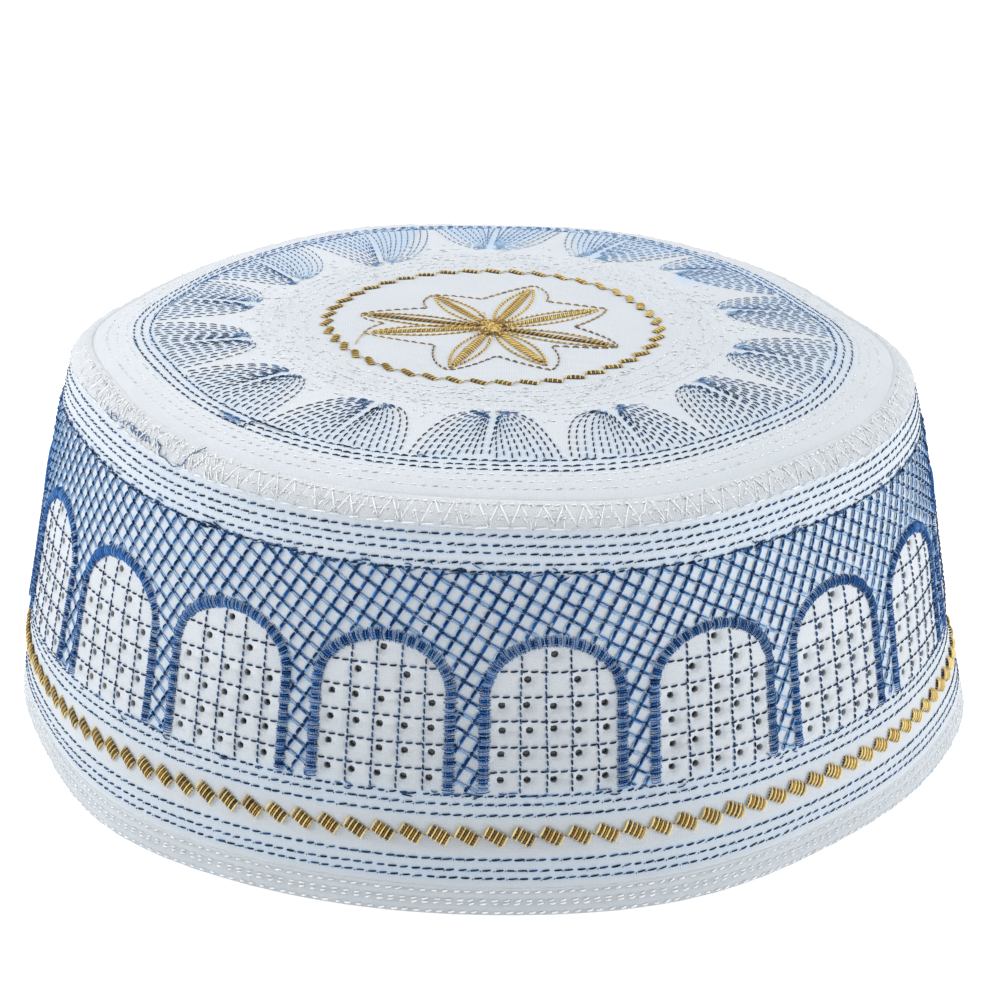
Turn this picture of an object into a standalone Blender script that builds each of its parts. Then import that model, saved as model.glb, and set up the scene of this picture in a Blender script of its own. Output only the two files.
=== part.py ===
"""Embroidered kufi cap: a flat, slightly domed top, a tapering side band with a row of
arches, and a stitched hem, resting on its open rim.

The frame has +Z up, with the origin under the middle of the rim. Azimuth 0 is +X, and the
front of the cap is at azimuth 270, towards -Y. Lengths are written in millimetres and are
turned into metres by MM where a mesh is made.
"""
import math
from typing import NamedTuple

import bmesh
import bpy
from mathutils import Matrix, Vector

MM = 0.001


class ProfileRow(NamedTuple):
    """One point of the outer profile, from the top's middle to the rim."""

    name: str
    radius: float
    height: float


class RoundRow(NamedTuple):
    """How far the worn cap leaves the round at one azimuth, in millimetres."""

    azimuth: float
    rim: float
    foot: float
    join: float
    lift: float


class PetalRow(NamedTuple):
    """Direction and reach of one petal, from the middle of the flower."""

    azimuth: float
    reach: float


class RingRow(NamedTuple):
    """One zigzag ring of slanted satin blocks, in millimetres."""

    name: str
    blocks: int
    run: float
    length: float
    width: float
    rise: float


PROFILE = [
    ProfileRow("middle of the top", 0.0, 76.0),
    ProfileRow("flower", 20.0, 75.8),
    ProfileRow("gold ring", 32.0, 75.4),
    ProfileRow("tips of the fans", 46.5, 74.8),
    ProfileRow("middle of the fans", 58.0, 74.1),
    ProfileRow("foot of the fans", 67.3, 72.6),
    ProfileRow("white rows", 72.0, 71.3),
    ProfileRow("tape, upper edge", 75.5, 69.8),
    ProfileRow("join", 78.2, 67.6),
    ProfileRow("tape, lower edge", 79.6, 65.0),
    ProfileRow("top of the lattice", 80.9, 59.5),
    ProfileRow("heads of the arches", 84.4, 42.0),
    ProfileRow("feet of the arches", 88.0, 20.8),
    ProfileRow("blue rows", 91.0, 7.0),
    ProfileRow("rim", 92.5, 0.0),
]
OUT_OF_ROUND = [
    RoundRow(0.0, 3.0, 2.0, 1.5, 1.0),
    RoundRow(22.5, 0.25, 0.0, -0.75, -0.25),
    RoundRow(45.0, 0.0, 0.0, 1.5, 0.0),
    RoundRow(67.5, 0.0, 0.0, 0.75, 1.5),
    RoundRow(90.0, 0.0, 0.0, 0.25, 1.0),
    RoundRow(112.5, 0.0, 0.0, 0.0, 1.75),
    RoundRow(135.0, 0.0, 0.0, -0.75, 0.75),
    RoundRow(157.5, 0.0, 0.75, -0.25, 0.0),
    RoundRow(180.0, -0.75, 1.0, 1.25, 1.75),
    RoundRow(202.5, -2.25, 0.5, -1.25, 2.5),
    RoundRow(225.0, 1.5, -0.25, -0.5, 1.5),
    RoundRow(247.5, 1.25, 0.0, -0.5, 0.5),
    RoundRow(270.0, 0.75, 0.0, -0.5, 0.5),
    RoundRow(292.5, 1.25, 0.0, 1.0, 0.0),
    RoundRow(315.0, -1.25, -0.5, -1.0, 0.0),
    RoundRow(337.5, 0.25, 0.5, 0.5, 0.0),
]
FOOT_HEIGHT = 20.8
JOIN_HEIGHT = 67.6
JOIN_RADIUS = 78.2

# Walls and the gap between neighbouring pieces
TURN_STEPS = 54
WALL = 1.8
GAP = 0.35
TAPE_RISE = 0.4
TAPE_UNDERSIDE = -0.7
UNDER_TAPE = -1.05
HEM_WALL = 2.6

# Runs along the profile, measured from the middle of the top
RUN_TAPE_TOP = 75.7
RUN_SEAM = 78.4
RUN_TAPE_FOOT = 81.2
RUN_HEM_TOP = 143.9

# The row of arches
ARCH_COUNT = 18
ARCH_PITCH = 360.0 / ARCH_COUNT
FRONT = 270.0
ARCH_PHASE = 8.1
ARCH_HALF_WIDTH = 8.03
RUN_ARCH_FOOT = 127.4
RUN_ARCH_SPRING = 109.7
RUN_ARCH_HEAD = 100.3
ARCH_CORD_WIDTH = 2.2
ARCH_CORD_HEIGHT = 0.8
LEG_STATIONS = 1
HEAD_STATIONS = 10

# Punched vents inside each arch
VENT_DIAMETER = 1.2
VENT_SIDES = 5
VENT_COLUMN_PITCH = 2.98
VENT_COLUMNS = (-2, 0, 2)
RUN_VENT_ROWS = (124.7, 115.8)
VENT_CUTTER_LENGTH = 6.0

# Zigzag rings of satin blocks
RINGS = [
    RingRow("gold_chain", 115, 134.9, 4.1, 2.4, 0.6),
    RingRow("crown_gold_ring", 43, 31.4, 3.8, 1.6, 0.45),
]
BLOCK_TILT = 28.0

# Flower on the top, whose middle lies a little in front of the top's own
FLOWER_MIDDLE_Y = -3.7
PETALS = [
    PetalRow(72.5, 25.2),
    PetalRow(31.3, 23.9),
    PetalRow(341.6, 24.4),
    PetalRow(298.1, 21.2),
    PetalRow(250.3, 22.5),
    PetalRow(188.0, 23.6),
    PetalRow(164.0, 25.7),
    PetalRow(121.6, 21.6),
]
PETAL_START = 1.0
PETAL_WIDTH = 2.6
PETAL_HEIGHT = 0.8
KNOT_RADIUS = 3.0
KNOT_HEIGHT = 1.1

COLLECTION = "kufi_cap"
CUTTERS = "cutters"


def catmull_rom(before, here, there, after, t):
    """Value at t, from 0 to 1, on the smooth curve from here to there."""
    return 0.5 * (
        2 * here
        + (there - before) * t
        + (2 * before - 5 * here + 4 * there - after) * t * t
        + (3 * here - before - 3 * there + after) * t * t * t
    )


class Outline:
    """The outer profile as a smooth curve that is read by its run in millimetres."""

    SAMPLES = 40

    def __init__(self, rows):
        """Samples the curve through the rows and adds up its length."""
        self.points = []
        last = len(rows) - 1
        for index in range(last):
            near = [rows[max(index - 1, 0)], rows[index], rows[index + 1], rows[min(index + 2, last)]]
            for sample in range(self.SAMPLES):
                t = sample / self.SAMPLES
                radius = catmull_rom(*[row.radius for row in near], t)
                height = catmull_rom(*[row.height for row in near], t)
                self.points.append(Vector((radius, height)))
        self.points.append(Vector((rows[last].radius, rows[last].height)))
        self.runs = [0.0]
        for first, second in zip(self.points, self.points[1:]):
            self.runs.append(self.runs[-1] + (second - first).length)
        self.length = self.runs[-1]

    def at(self, run, offset=0.0):
        """Radius and height at a run, moved outwards from the surface by offset."""
        place = min(max(run, 0.0), self.length)
        index = 0
        while index < len(self.runs) - 2 and self.runs[index + 1] < place:
            index += 1
        start = self.points[index]
        along = self.points[index + 1] - start
        point = start + along * ((place - self.runs[index]) / along.length)
        outward = Vector((-along.y, along.x)).normalized()
        return point + outward * offset


OUTLINE = Outline(PROFILE)


def out_of_round(point):
    """Moves a point of the true round cap to where the worn cap has it."""
    azimuth = math.degrees(math.atan2(point.y, point.x)) % 360.0
    step = 360.0 / len(OUT_OF_ROUND)
    index = int(azimuth // step)
    t = azimuth / step - index
    near = [OUT_OF_ROUND[(index + shift) % len(OUT_OF_ROUND)] for shift in (-1, 0, 1, 2)]
    rim, foot, join, lift = (
        catmull_rom(*[getattr(row, name) for row in near], t) for name in ("rim", "foot", "join", "lift")
    )
    lower = min(max(point.z / FOOT_HEIGHT, 0.0), 1.0)
    upper = min(max((point.z - FOOT_HEIGHT) / (JOIN_HEIGHT - FOOT_HEIGHT), 0.0), 1.0)
    radius = math.hypot(point.x, point.y)
    reach = min(radius / JOIN_RADIUS, 1.0)
    push = (rim * (1 - lower) + foot * lower * (1 - upper) + join * upper) * reach ** 1.5
    scale = (radius + push) / radius if radius > 0 else 1.0
    return Vector((point.x * scale, point.y * scale, point.z + lift * upper ** 2 * reach ** 3))


def on_cap(azimuth, run, offset=0.0):
    """Point on the worn cap's surface, or off it by offset, in millimetres."""
    radius, height = OUTLINE.at(run, offset)
    angle = math.radians(azimuth)
    return out_of_round(Vector((radius * math.cos(angle), radius * math.sin(angle), height)))


def degrees_of(arc, run):
    """Azimuth that an arc in millimetres spans at a run."""
    return math.degrees(arc / OUTLINE.at(run).x)


def material(name, colour, roughness):
    """Principled finish of one kind of cloth or thread."""
    finish = bpy.data.materials.new(name)
    finish.use_nodes = True
    shader = finish.node_tree.nodes["Principled BSDF"]
    shader.inputs["Base Color"].default_value = (*colour, 1.0)
    shader.inputs["Roughness"].default_value = roughness
    shader.inputs["Metallic"].default_value = 0.0
    return finish


def add_object(name, mesh_builder, finish, collection):
    """Turns a bmesh in millimetres into a named object in metres."""
    bmesh.ops.recalc_face_normals(mesh_builder, faces=mesh_builder.faces)
    bmesh.ops.scale(mesh_builder, vec=(MM, MM, MM), verts=mesh_builder.verts)
    mesh = bpy.data.meshes.new(name)
    mesh_builder.to_mesh(mesh)
    mesh_builder.free()
    mesh.shade_smooth()
    mesh.set_sharp_from_angle(angle=math.radians(40))
    if finish:
        mesh.materials.append(finish)
    thing = bpy.data.objects.new(name, mesh)
    collection.objects.link(thing)
    return thing


def turned_cloth(name, section, closed, finish, collection):
    """Turns a section of (run, offset) pairs about Z and pushes it out of round.

    A closed section makes a ring. An open one starts and ends on the axis and makes a disc.
    """
    shape = bmesh.new()
    corners = []
    for run, offset in section:
        radius, height = OUTLINE.at(run, offset)
        on_axis = run == 0
        corners.append(shape.verts.new((0.0 if on_axis else radius, 0.0, max(height, 0.0))))
    pairs = list(zip(corners, corners[1:]))
    if closed:
        pairs.append((corners[-1], corners[0]))
    edges = [shape.edges.new(pair) for pair in pairs]
    bmesh.ops.spin(
        shape,
        geom=corners + edges,
        cent=(0, 0, 0),
        axis=(0, 0, 1),
        dvec=(0, 0, 0),
        angle=2 * math.pi,
        steps=TURN_STEPS,
        use_merge=True,
    )
    bmesh.ops.remove_doubles(shape, verts=shape.verts, dist=0.001)
    for vert in shape.verts:
        vert.co = out_of_round(vert.co)
    return add_object(name, shape, finish, collection)


def crown_top(finish, collection):
    """The domed top with its turned-down edge under the tape."""
    outside = [(run, 0.0) for run in (0, 22, 44, 58, 66, 70, 73, 74.7)]
    tucked = [(RUN_TAPE_TOP - 0.3, UNDER_TAPE), (76.8, UNDER_TAPE), (RUN_SEAM - GAP / 2, UNDER_TAPE)]
    inside = [(RUN_SEAM - GAP / 2, UNDER_TAPE - WALL), (75.4, UNDER_TAPE - WALL)]
    inside += [(run, -WALL) for run in (71, 64, 40, 0)]
    return turned_cloth("crown_top", outside + tucked + inside, False, finish, collection)


def shoulder_tape(finish, collection):
    """The tape that lies over the join of top and band."""
    section = [
        (RUN_TAPE_TOP, TAPE_UNDERSIDE),
        (RUN_TAPE_TOP + 0.1, 0.0),
        (RUN_TAPE_TOP + 0.7, TAPE_RISE),
        (RUN_SEAM, TAPE_RISE),
        (RUN_TAPE_FOOT - 0.6, TAPE_RISE),
        (RUN_TAPE_FOOT, 0.0),
        (RUN_TAPE_FOOT, TAPE_UNDERSIDE),
        (RUN_SEAM, TAPE_UNDERSIDE),
    ]
    return turned_cloth("shoulder_tape", section, True, finish, collection)


def side_band(finish, collection):
    """The tapering wall between the tape and the hem."""
    outside = [(RUN_SEAM + GAP / 2, UNDER_TAPE), (RUN_TAPE_FOOT + 0.1, UNDER_TAPE), (82.3, 0.0)]
    outside += [(run, 0.0) for run in (88, 98, 108, 118, 128, 136)]
    outside.append((RUN_HEM_TOP - GAP / 2, 0.0))
    inside = [(RUN_HEM_TOP - GAP / 2, -WALL)]
    inside += [(run, -WALL) for run in (128, 108, 90)]
    inside += [(82.5, UNDER_TAPE - WALL), (RUN_SEAM + GAP / 2, UNDER_TAPE - WALL)]
    return turned_cloth("side_band", outside + inside, True, finish, collection)


def rim_hem(finish, collection):
    """The turned hem, whose flat underside is what the cap rests on."""
    rim = OUTLINE.length
    section = [
        (RUN_HEM_TOP + GAP / 2, 0.0),
        (rim - 0.6, 0.0),
        (rim, -0.5),
        (rim, -HEM_WALL + 0.5),
        (rim - 0.6, -HEM_WALL),
        (RUN_HEM_TOP + GAP / 2, -HEM_WALL),
    ]
    hem = turned_cloth("rim_hem", section, True, finish, collection)
    foot_height = 0.35 * MM
    for vert in hem.data.vertices:
        if vert.co.z < foot_height:
            vert.co.z = 0.0
    return hem


def arch_path():
    """Stations of an arch as (azimuth from its middle, run), foot to foot."""
    leg = [
        (ARCH_HALF_WIDTH, RUN_ARCH_FOOT + (RUN_ARCH_SPRING - RUN_ARCH_FOOT) * step / LEG_STATIONS)
        for step in range(LEG_STATIONS)
    ]
    head = []
    for step in range(HEAD_STATIONS + 1):
        angle = math.pi * step / HEAD_STATIONS
        rise = (RUN_ARCH_SPRING - RUN_ARCH_HEAD) * math.sin(angle)
        head.append((ARCH_HALF_WIDTH * math.cos(angle), RUN_ARCH_SPRING - rise))
    other_leg = [(-azimuth, run) for azimuth, run in reversed(leg)]
    return leg + head + other_leg


def swept_relief(name, stations, closed, finish, collection):
    """Extrudes a flat, domed section through stations of four corners each."""
    shape = bmesh.new()
    ring = [shape.verts.new(corner) for corner in stations[0]]
    start = shape.faces.new(ring)
    edges = list(start.edges)
    for station in stations[1:] + (stations[:1] if closed else []):
        grown = bmesh.ops.extrude_edge_only(shape, edges=edges)["geom"]
        edges = [item for item in grown if isinstance(item, bmesh.types.BMEdge)]
        fresh = {item for item in grown if isinstance(item, bmesh.types.BMVert)}
        follow = []
        for vert in ring:
            for edge in vert.link_edges:
                if edge.other_vert(vert) in fresh:
                    follow.append(edge.other_vert(vert))
        for vert, corner in zip(follow, station):
            vert.co = corner
        ring = follow
        edges = [edge for edge in edges if edge.verts[0] in ring and edge.verts[1] in ring]
    if closed:
        bmesh.ops.delete(shape, geom=[start], context="FACES_ONLY")
        bmesh.ops.remove_doubles(shape, verts=shape.verts, dist=0.001)
    else:
        shape.faces.new(ring)
    return add_object(name, shape, finish, collection)


def relief_station(inner, outer, lift):
    """Four corners across a relief: its two edges at the cloth and two on its top."""
    inset = 0.22
    corners = []
    for share, offset in ((0.0, GAP), (inset, GAP + lift), (1 - inset, GAP + lift), (1.0, GAP)):
        azimuth = inner[0] + (outer[0] - inner[0]) * share
        run = inner[1] + (outer[1] - inner[1]) * share
        corners.append(on_cap(azimuth, run, offset))
    return corners


def arch_cord(number, finish, collection):
    """The raised satin cord of one arch."""
    middle = FRONT + ARCH_PHASE + number * ARCH_PITCH
    path = arch_path()
    stations = []
    for index, (azimuth, run) in enumerate(path):
        before = path[max(index - 1, 0)]
        after = path[min(index + 1, len(path) - 1)]
        per_degree = math.radians(OUTLINE.at(run).x)
        along = Vector(((after[0] - before[0]) * per_degree, after[1] - before[1])).normalized()
        side = Vector((-along.y, along.x)) * (ARCH_CORD_WIDTH / 2)
        inner = (middle + azimuth - side.x / per_degree, run - side.y)
        outer = (middle + azimuth + side.x / per_degree, run + side.y)
        stations.append(relief_station(inner, outer, ARCH_CORD_HEIGHT))
    return swept_relief(f"arch_cord_{number + 1:02d}", stations, False, finish, collection)


def block_ring(row, finish, collection):
    """A closed ring of slanted satin blocks that meet corner to corner."""
    tilt = math.radians(BLOCK_TILT)
    pitch = 360.0 / row.blocks
    reach = row.length / 2 * math.cos(tilt)
    lean = row.length / 2 * math.sin(tilt)
    half = row.width / 2 * math.cos(tilt)
    turn = degrees_of(reach, row.run)
    skew = degrees_of(row.width / 2 * math.sin(tilt), row.run)
    stations = []
    for number in range(row.blocks):
        middle = FRONT + (number + 0.5) * pitch
        for azimuth, centre in ((middle - turn, row.run - lean), (middle + turn, row.run + lean)):
            inner = (azimuth + skew, centre - half)
            outer = (azimuth - skew, centre + half)
            stations.append(relief_station(inner, outer, row.rise))
    return swept_relief(row.name, stations, True, finish, collection)


def flat_bottomed_dome(length, width, height, matrix):
    """A half ellipsoid with a flat underside, as a bmesh placed by matrix."""
    shape = bmesh.new()
    bmesh.ops.create_uvsphere(shape, u_segments=10, v_segments=4, radius=1.0)
    geometry = list(shape.verts) + list(shape.edges) + list(shape.faces)
    bmesh.ops.bisect_plane(shape, geom=geometry, plane_co=(0, 0, 0), plane_no=(0, 0, -1), clear_outer=True)
    rim = [edge for edge in shape.edges if edge.is_boundary]
    bmesh.ops.holes_fill(shape, edges=rim)
    bmesh.ops.scale(shape, vec=(length / 2, width / 2, height), verts=shape.verts)
    bmesh.ops.transform(shape, matrix=matrix, verts=shape.verts)
    return shape


def joined_by_union(target, tools):
    """Unions the tools into the target with a Boolean each, and removes them."""
    for tool in tools:
        union = target.modifiers.new("union_" + tool.name, "BOOLEAN")
        union.operation = "UNION"
        union.solver = "EXACT"
        union.object = tool


def flower(finish, collection, cutters):
    """Eight raised satin petals that meet in a knot."""
    seat = OUTLINE.at(0.0).y + GAP
    centre = Matrix.Translation((0, FLOWER_MIDDLE_Y, seat))
    knot = flat_bottomed_dome(2 * KNOT_RADIUS, 2 * KNOT_RADIUS, KNOT_HEIGHT, centre)
    thing = add_object("flower", knot, finish, collection)
    petals = []
    for number, row in enumerate(PETALS):
        length = row.reach - PETAL_START
        turn = Matrix.Rotation(math.radians(row.azimuth), 4, "Z")
        out = Matrix.Translation((PETAL_START + length / 2, 0, 0))
        petal = flat_bottomed_dome(length, PETAL_WIDTH, PETAL_HEIGHT, centre @ turn @ out)
        petals.append(as_cutter(f"petal_{number + 1}", petal, cutters))
    joined_by_union(thing, petals)
    return thing


def as_cutter(name, shape, cutters):
    """Adds a bmesh as a wire guide that only a Boolean uses."""
    tool = add_object(name, shape, None, cutters)
    tool.display_type = "WIRE"
    tool.hide_render = True
    return tool


def vent_cutters(cutters):
    """All punched vents of the arches, as one cutter of short pins."""
    shape = bmesh.new()
    for number in range(ARCH_COUNT):
        middle = FRONT + ARCH_PHASE + number * ARCH_PITCH
        for column in VENT_COLUMNS:
            for run in RUN_VENT_ROWS:
                azimuth = middle + column * VENT_COLUMN_PITCH
                inner = on_cap(azimuth, run, -VENT_CUTTER_LENGTH / 2)
                outer = on_cap(azimuth, run, VENT_CUTTER_LENGTH / 2)
                turn = (outer - inner).to_track_quat("Z", "Y").to_matrix().to_4x4()
                bmesh.ops.create_cone(
                    shape,
                    cap_ends=True,
                    segments=VENT_SIDES,
                    radius1=VENT_DIAMETER / 2,
                    radius2=VENT_DIAMETER / 2,
                    depth=VENT_CUTTER_LENGTH,
                    matrix=Matrix.Translation((inner + outer) / 2) @ turn,
                )
    return as_cutter("vent_pins", shape, cutters)


def stand_on_origin(things):
    """Moves every mesh so that the cap's box is centred over the origin."""
    corners = [vert.co for vert in bpy.data.objects["rim_hem"].data.vertices]
    middle_x = (min(c.x for c in corners) + max(c.x for c in corners)) / 2
    middle_y = (min(c.y for c in corners) + max(c.y for c in corners)) / 2
    for thing in things:
        thing.data.transform(Matrix.Translation((-middle_x, -middle_y, 0.0)))


def new_collection(name):
    """A collection in the scene."""
    collection = bpy.data.collections.new(name)
    bpy.context.scene.collection.children.link(collection)
    return collection


def main():
    """Builds the cap."""
    for thing in list(bpy.data.objects):
        bpy.data.objects.remove(thing, do_unlink=True)
    cap = new_collection(COLLECTION)
    cutters = new_collection(CUTTERS)
    cloth = material("white_cloth", (0.80, 0.84, 0.89), 0.85)
    tape = material("white_tape", (0.86, 0.88, 0.90), 0.8)
    blue = material("blue_thread", (0.10, 0.26, 0.58), 0.5)
    gold = material("gold_thread", (0.60, 0.38, 0.09), 0.45)
    crown_top(cloth, cap)
    shoulder_tape(tape, cap)
    band = side_band(cloth, cap)
    rim_hem(cloth, cap)
    for number in range(ARCH_COUNT):
        arch_cord(number, blue, cap)
    for row in RINGS:
        block_ring(row, gold, cap)
    flower(gold, cap, cutters)
    pins = vent_cutters(cutters)
    cut = band.modifiers.new("vents", "BOOLEAN")
    cut.operation = "DIFFERENCE"
    cut.solver = "EXACT"
    cut.object = pins
    stand_on_origin(list(cap.objects) + list(cutters.objects))


main()
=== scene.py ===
"""Looks of the embroidered kufi cap: its cloth, its threads, and a plain pale studio.

Lengths inside the classes are in millimetres. CapForm turns them into metres in the frame.
An azimuth is in degrees from +X, with the front of the cap at 270. A run is the way along
the cap's profile from the middle of the top down to the rim.
"""
import logging
import math
from collections.abc import Callable
from dataclasses import dataclass, field
from enum import Enum
from typing import NamedTuple

import bmesh
import bpy
import numpy as np
from mathutils import Matrix, Vector
from mathutils.kdtree import KDTree


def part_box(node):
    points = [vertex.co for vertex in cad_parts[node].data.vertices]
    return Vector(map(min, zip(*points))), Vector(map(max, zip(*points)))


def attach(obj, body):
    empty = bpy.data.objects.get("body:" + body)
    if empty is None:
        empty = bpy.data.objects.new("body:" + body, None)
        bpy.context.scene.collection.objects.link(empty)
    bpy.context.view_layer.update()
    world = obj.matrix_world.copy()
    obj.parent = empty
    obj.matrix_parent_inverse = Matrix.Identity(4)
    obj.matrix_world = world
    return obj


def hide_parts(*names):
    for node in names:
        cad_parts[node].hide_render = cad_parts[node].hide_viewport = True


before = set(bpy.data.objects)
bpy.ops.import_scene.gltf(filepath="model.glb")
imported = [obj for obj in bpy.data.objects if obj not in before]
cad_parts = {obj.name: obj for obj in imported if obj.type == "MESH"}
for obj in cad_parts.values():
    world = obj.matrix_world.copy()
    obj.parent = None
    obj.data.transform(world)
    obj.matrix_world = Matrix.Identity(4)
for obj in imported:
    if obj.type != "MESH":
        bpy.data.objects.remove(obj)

MM = 0.001
FRONT = 270.0
RIGHT = 0.0
LOG = logging.getLogger("kufi_cap")
Array = np.ndarray
Dice = np.random.Generator
Colour = tuple[float, float, float]
Ends = tuple[Array, Array]  # azimuth and run of one end of each stitch
Stitches = tuple[Ends, Ends]
Spread = Callable[[Array, Array], Array]  # a value at each azimuth and run


class ProfileRow(NamedTuple):
    """One point of the outer profile, from the top's middle to the rim."""

    name: str
    radius: float
    height: float


class RoundRow(NamedTuple):
    """How far the worn cap leaves the round at one azimuth."""

    azimuth: float
    rim: float
    foot: float
    join: float
    lift: float


class PetalRow(NamedTuple):
    """One petal: its direction and reach, its vein, and how far its contour spreads on each side."""

    azimuth: float
    reach: float
    fullness: float
    shade: float
    tip: float
    left: float
    right: float


class ValleyRow(NamedTuple):
    """Where the flower's contour turns in between two petals."""

    azimuth: float
    reach: float


class FanRow(NamedTuple):
    """One fan: where its lines start, as azimuth and distance from the top's middle."""

    azimuth: float
    tip: float


class Place(NamedTuple):
    """A place on the cap that a loose thread runs through."""

    azimuth: float
    run: float


class Strand(NamedTuple):
    """One strand between two crossings of the lattice, and the share of stretches that have it.

    The first and last are shares of the way between the crossings, and the side is in millimetres.
    """

    shade: float
    side: float
    first: float
    last: float
    width: float
    lift: float
    share: float


class Stitch(NamedTuple):
    """A running stitch: the way from one to the next, and the length that shows."""

    pitch: float
    dash: float


class ThreadRow(NamedTuple):
    """One row of running stitches round the cap."""

    run: float
    pitch: float
    dash: float
    wander: float


PROFILE = (
    ProfileRow("middle of the top", 0.0, 76.0),
    ProfileRow("flower", 20.0, 75.8),
    ProfileRow("gold ring", 32.0, 75.4),
    ProfileRow("tips of the fans", 46.5, 74.8),
    ProfileRow("middle of the fans", 58.0, 74.1),
    ProfileRow("foot of the fans", 67.3, 72.6),
    ProfileRow("white rows", 72.0, 71.3),
    ProfileRow("tape, upper edge", 75.5, 69.8),
    ProfileRow("join", 78.2, 67.6),
    ProfileRow("tape, lower edge", 79.6, 65.0),
    ProfileRow("top of the lattice", 80.9, 59.5),
    ProfileRow("heads of the arches", 84.4, 42.0),
    ProfileRow("feet of the arches", 88.0, 20.8),
    ProfileRow("blue rows", 91.0, 7.0),
    ProfileRow("rim", 92.5, 0.0),
)
OUT_OF_ROUND = (
    RoundRow(0.0, 3.0, 2.0, 1.5, 1.0),
    RoundRow(22.5, 0.25, 0.0, -0.75, -0.25),
    RoundRow(45.0, 0.0, 0.0, 1.5, 0.0),
    RoundRow(67.5, 0.0, 0.0, 0.75, 1.5),
    RoundRow(90.0, 0.0, 0.0, 0.25, 1.0),
    RoundRow(112.5, 0.0, 0.0, 0.0, 1.75),
    RoundRow(135.0, 0.0, 0.0, -0.75, 0.75),
    RoundRow(157.5, 0.0, 0.75, -0.25, 0.0),
    RoundRow(180.0, -0.75, 1.0, 1.25, 1.75),
    RoundRow(202.5, -2.25, 0.5, -1.25, 2.5),
    RoundRow(225.0, 1.5, -0.25, -0.5, 1.5),
    RoundRow(247.5, 1.25, 0.0, -0.5, 0.5),
    RoundRow(270.0, 0.75, 0.0, -0.5, 0.5),
    RoundRow(292.5, 1.25, 0.0, 1.0, 0.0),
    RoundRow(315.0, -1.25, -0.5, -1.0, 0.0),
    RoundRow(337.5, 0.25, 0.5, 0.5, 0.0),
)
FOOT_HEIGHT = 20.8
JOIN_HEIGHT = 67.6
JOIN_RADIUS = 78.2
RUN_TAPE_TOP = 75.7
RUN_TAPE_FOOT = 81.2
RUN_SEAM = 78.4
RUN_HEM_TOP = 143.9
RUN_LATTICE_TOP = 88.4
TAPE_RISE = 0.4
WALL = 1.8
HEM_WALL = 2.6

ARCH_COUNT = 18
ARCH_PITCH = 360.0 / ARCH_COUNT
ARCH_PHASE = 8.1
ARCH_HALF_WIDTH = 8.03
RUN_ARCH_FOOT = 127.4
RUN_ARCH_SPRING = 109.7
RUN_ARCH_HEAD = 100.3
ARCH_CORD_WIDTH = 2.2
RUN_BASE_ROW = 127.8
FLOWER_MIDDLE_Y = -3.7
GRID_COLUMN = 2.98
GRID_ROW = 4.46
LATTICE_RADIUS = 83.0
WEAVE_RADIUS = 85.0


class Slant(Enum):
    """The two directions of the lattice's lines."""

    SHALLOW = "shallow"
    STEEP = "steep"


class LineSet(NamedTuple):
    """All lines of the lattice in one direction.

    The slope is the arc that a line gains for each millimetre down the band.
    """

    slant: Slant
    lines: int
    slope: float
    strands: tuple[Strand, ...]


def catmull_rom(before: Array, here: Array, there: Array, after: Array, t: Array) -> Array:
    """Value on the smooth curve from here to there.

    Args:
        before: the point before the stretch.
        here: where the stretch starts.
        there: where it ends.
        after: the point behind it.
        t: share of the stretch, from 0 to 1.

    Returns:
        The value at t.
    """
    return 0.5 * (
        2 * here
        + (there - before) * t
        + (2 * before - 5 * here + 4 * there - after) * t**2
        + (3 * here - before - 3 * there + after) * t**3
    )


def smooth_step(low: float, high: float, value: Array) -> Array:
    """Rises from 0 at low to 1 at high with level ends."""
    t = np.clip((value - low) / (high - low), 0.0, 1.0)
    return t * t * (3 - 2 * t)


def ridge(value: Array, centre: float, width: float) -> Array:
    """A soft ridge of height 1 at centre."""
    return np.exp(-(((value - centre) / width) ** 2))


def turn_gap(azimuth: Array, centre: float) -> Array:
    """Signed way round from centre to an azimuth, from -180 to 180 degrees."""
    return (np.asarray(azimuth) - centre + 180.0) % 360.0 - 180.0


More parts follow.
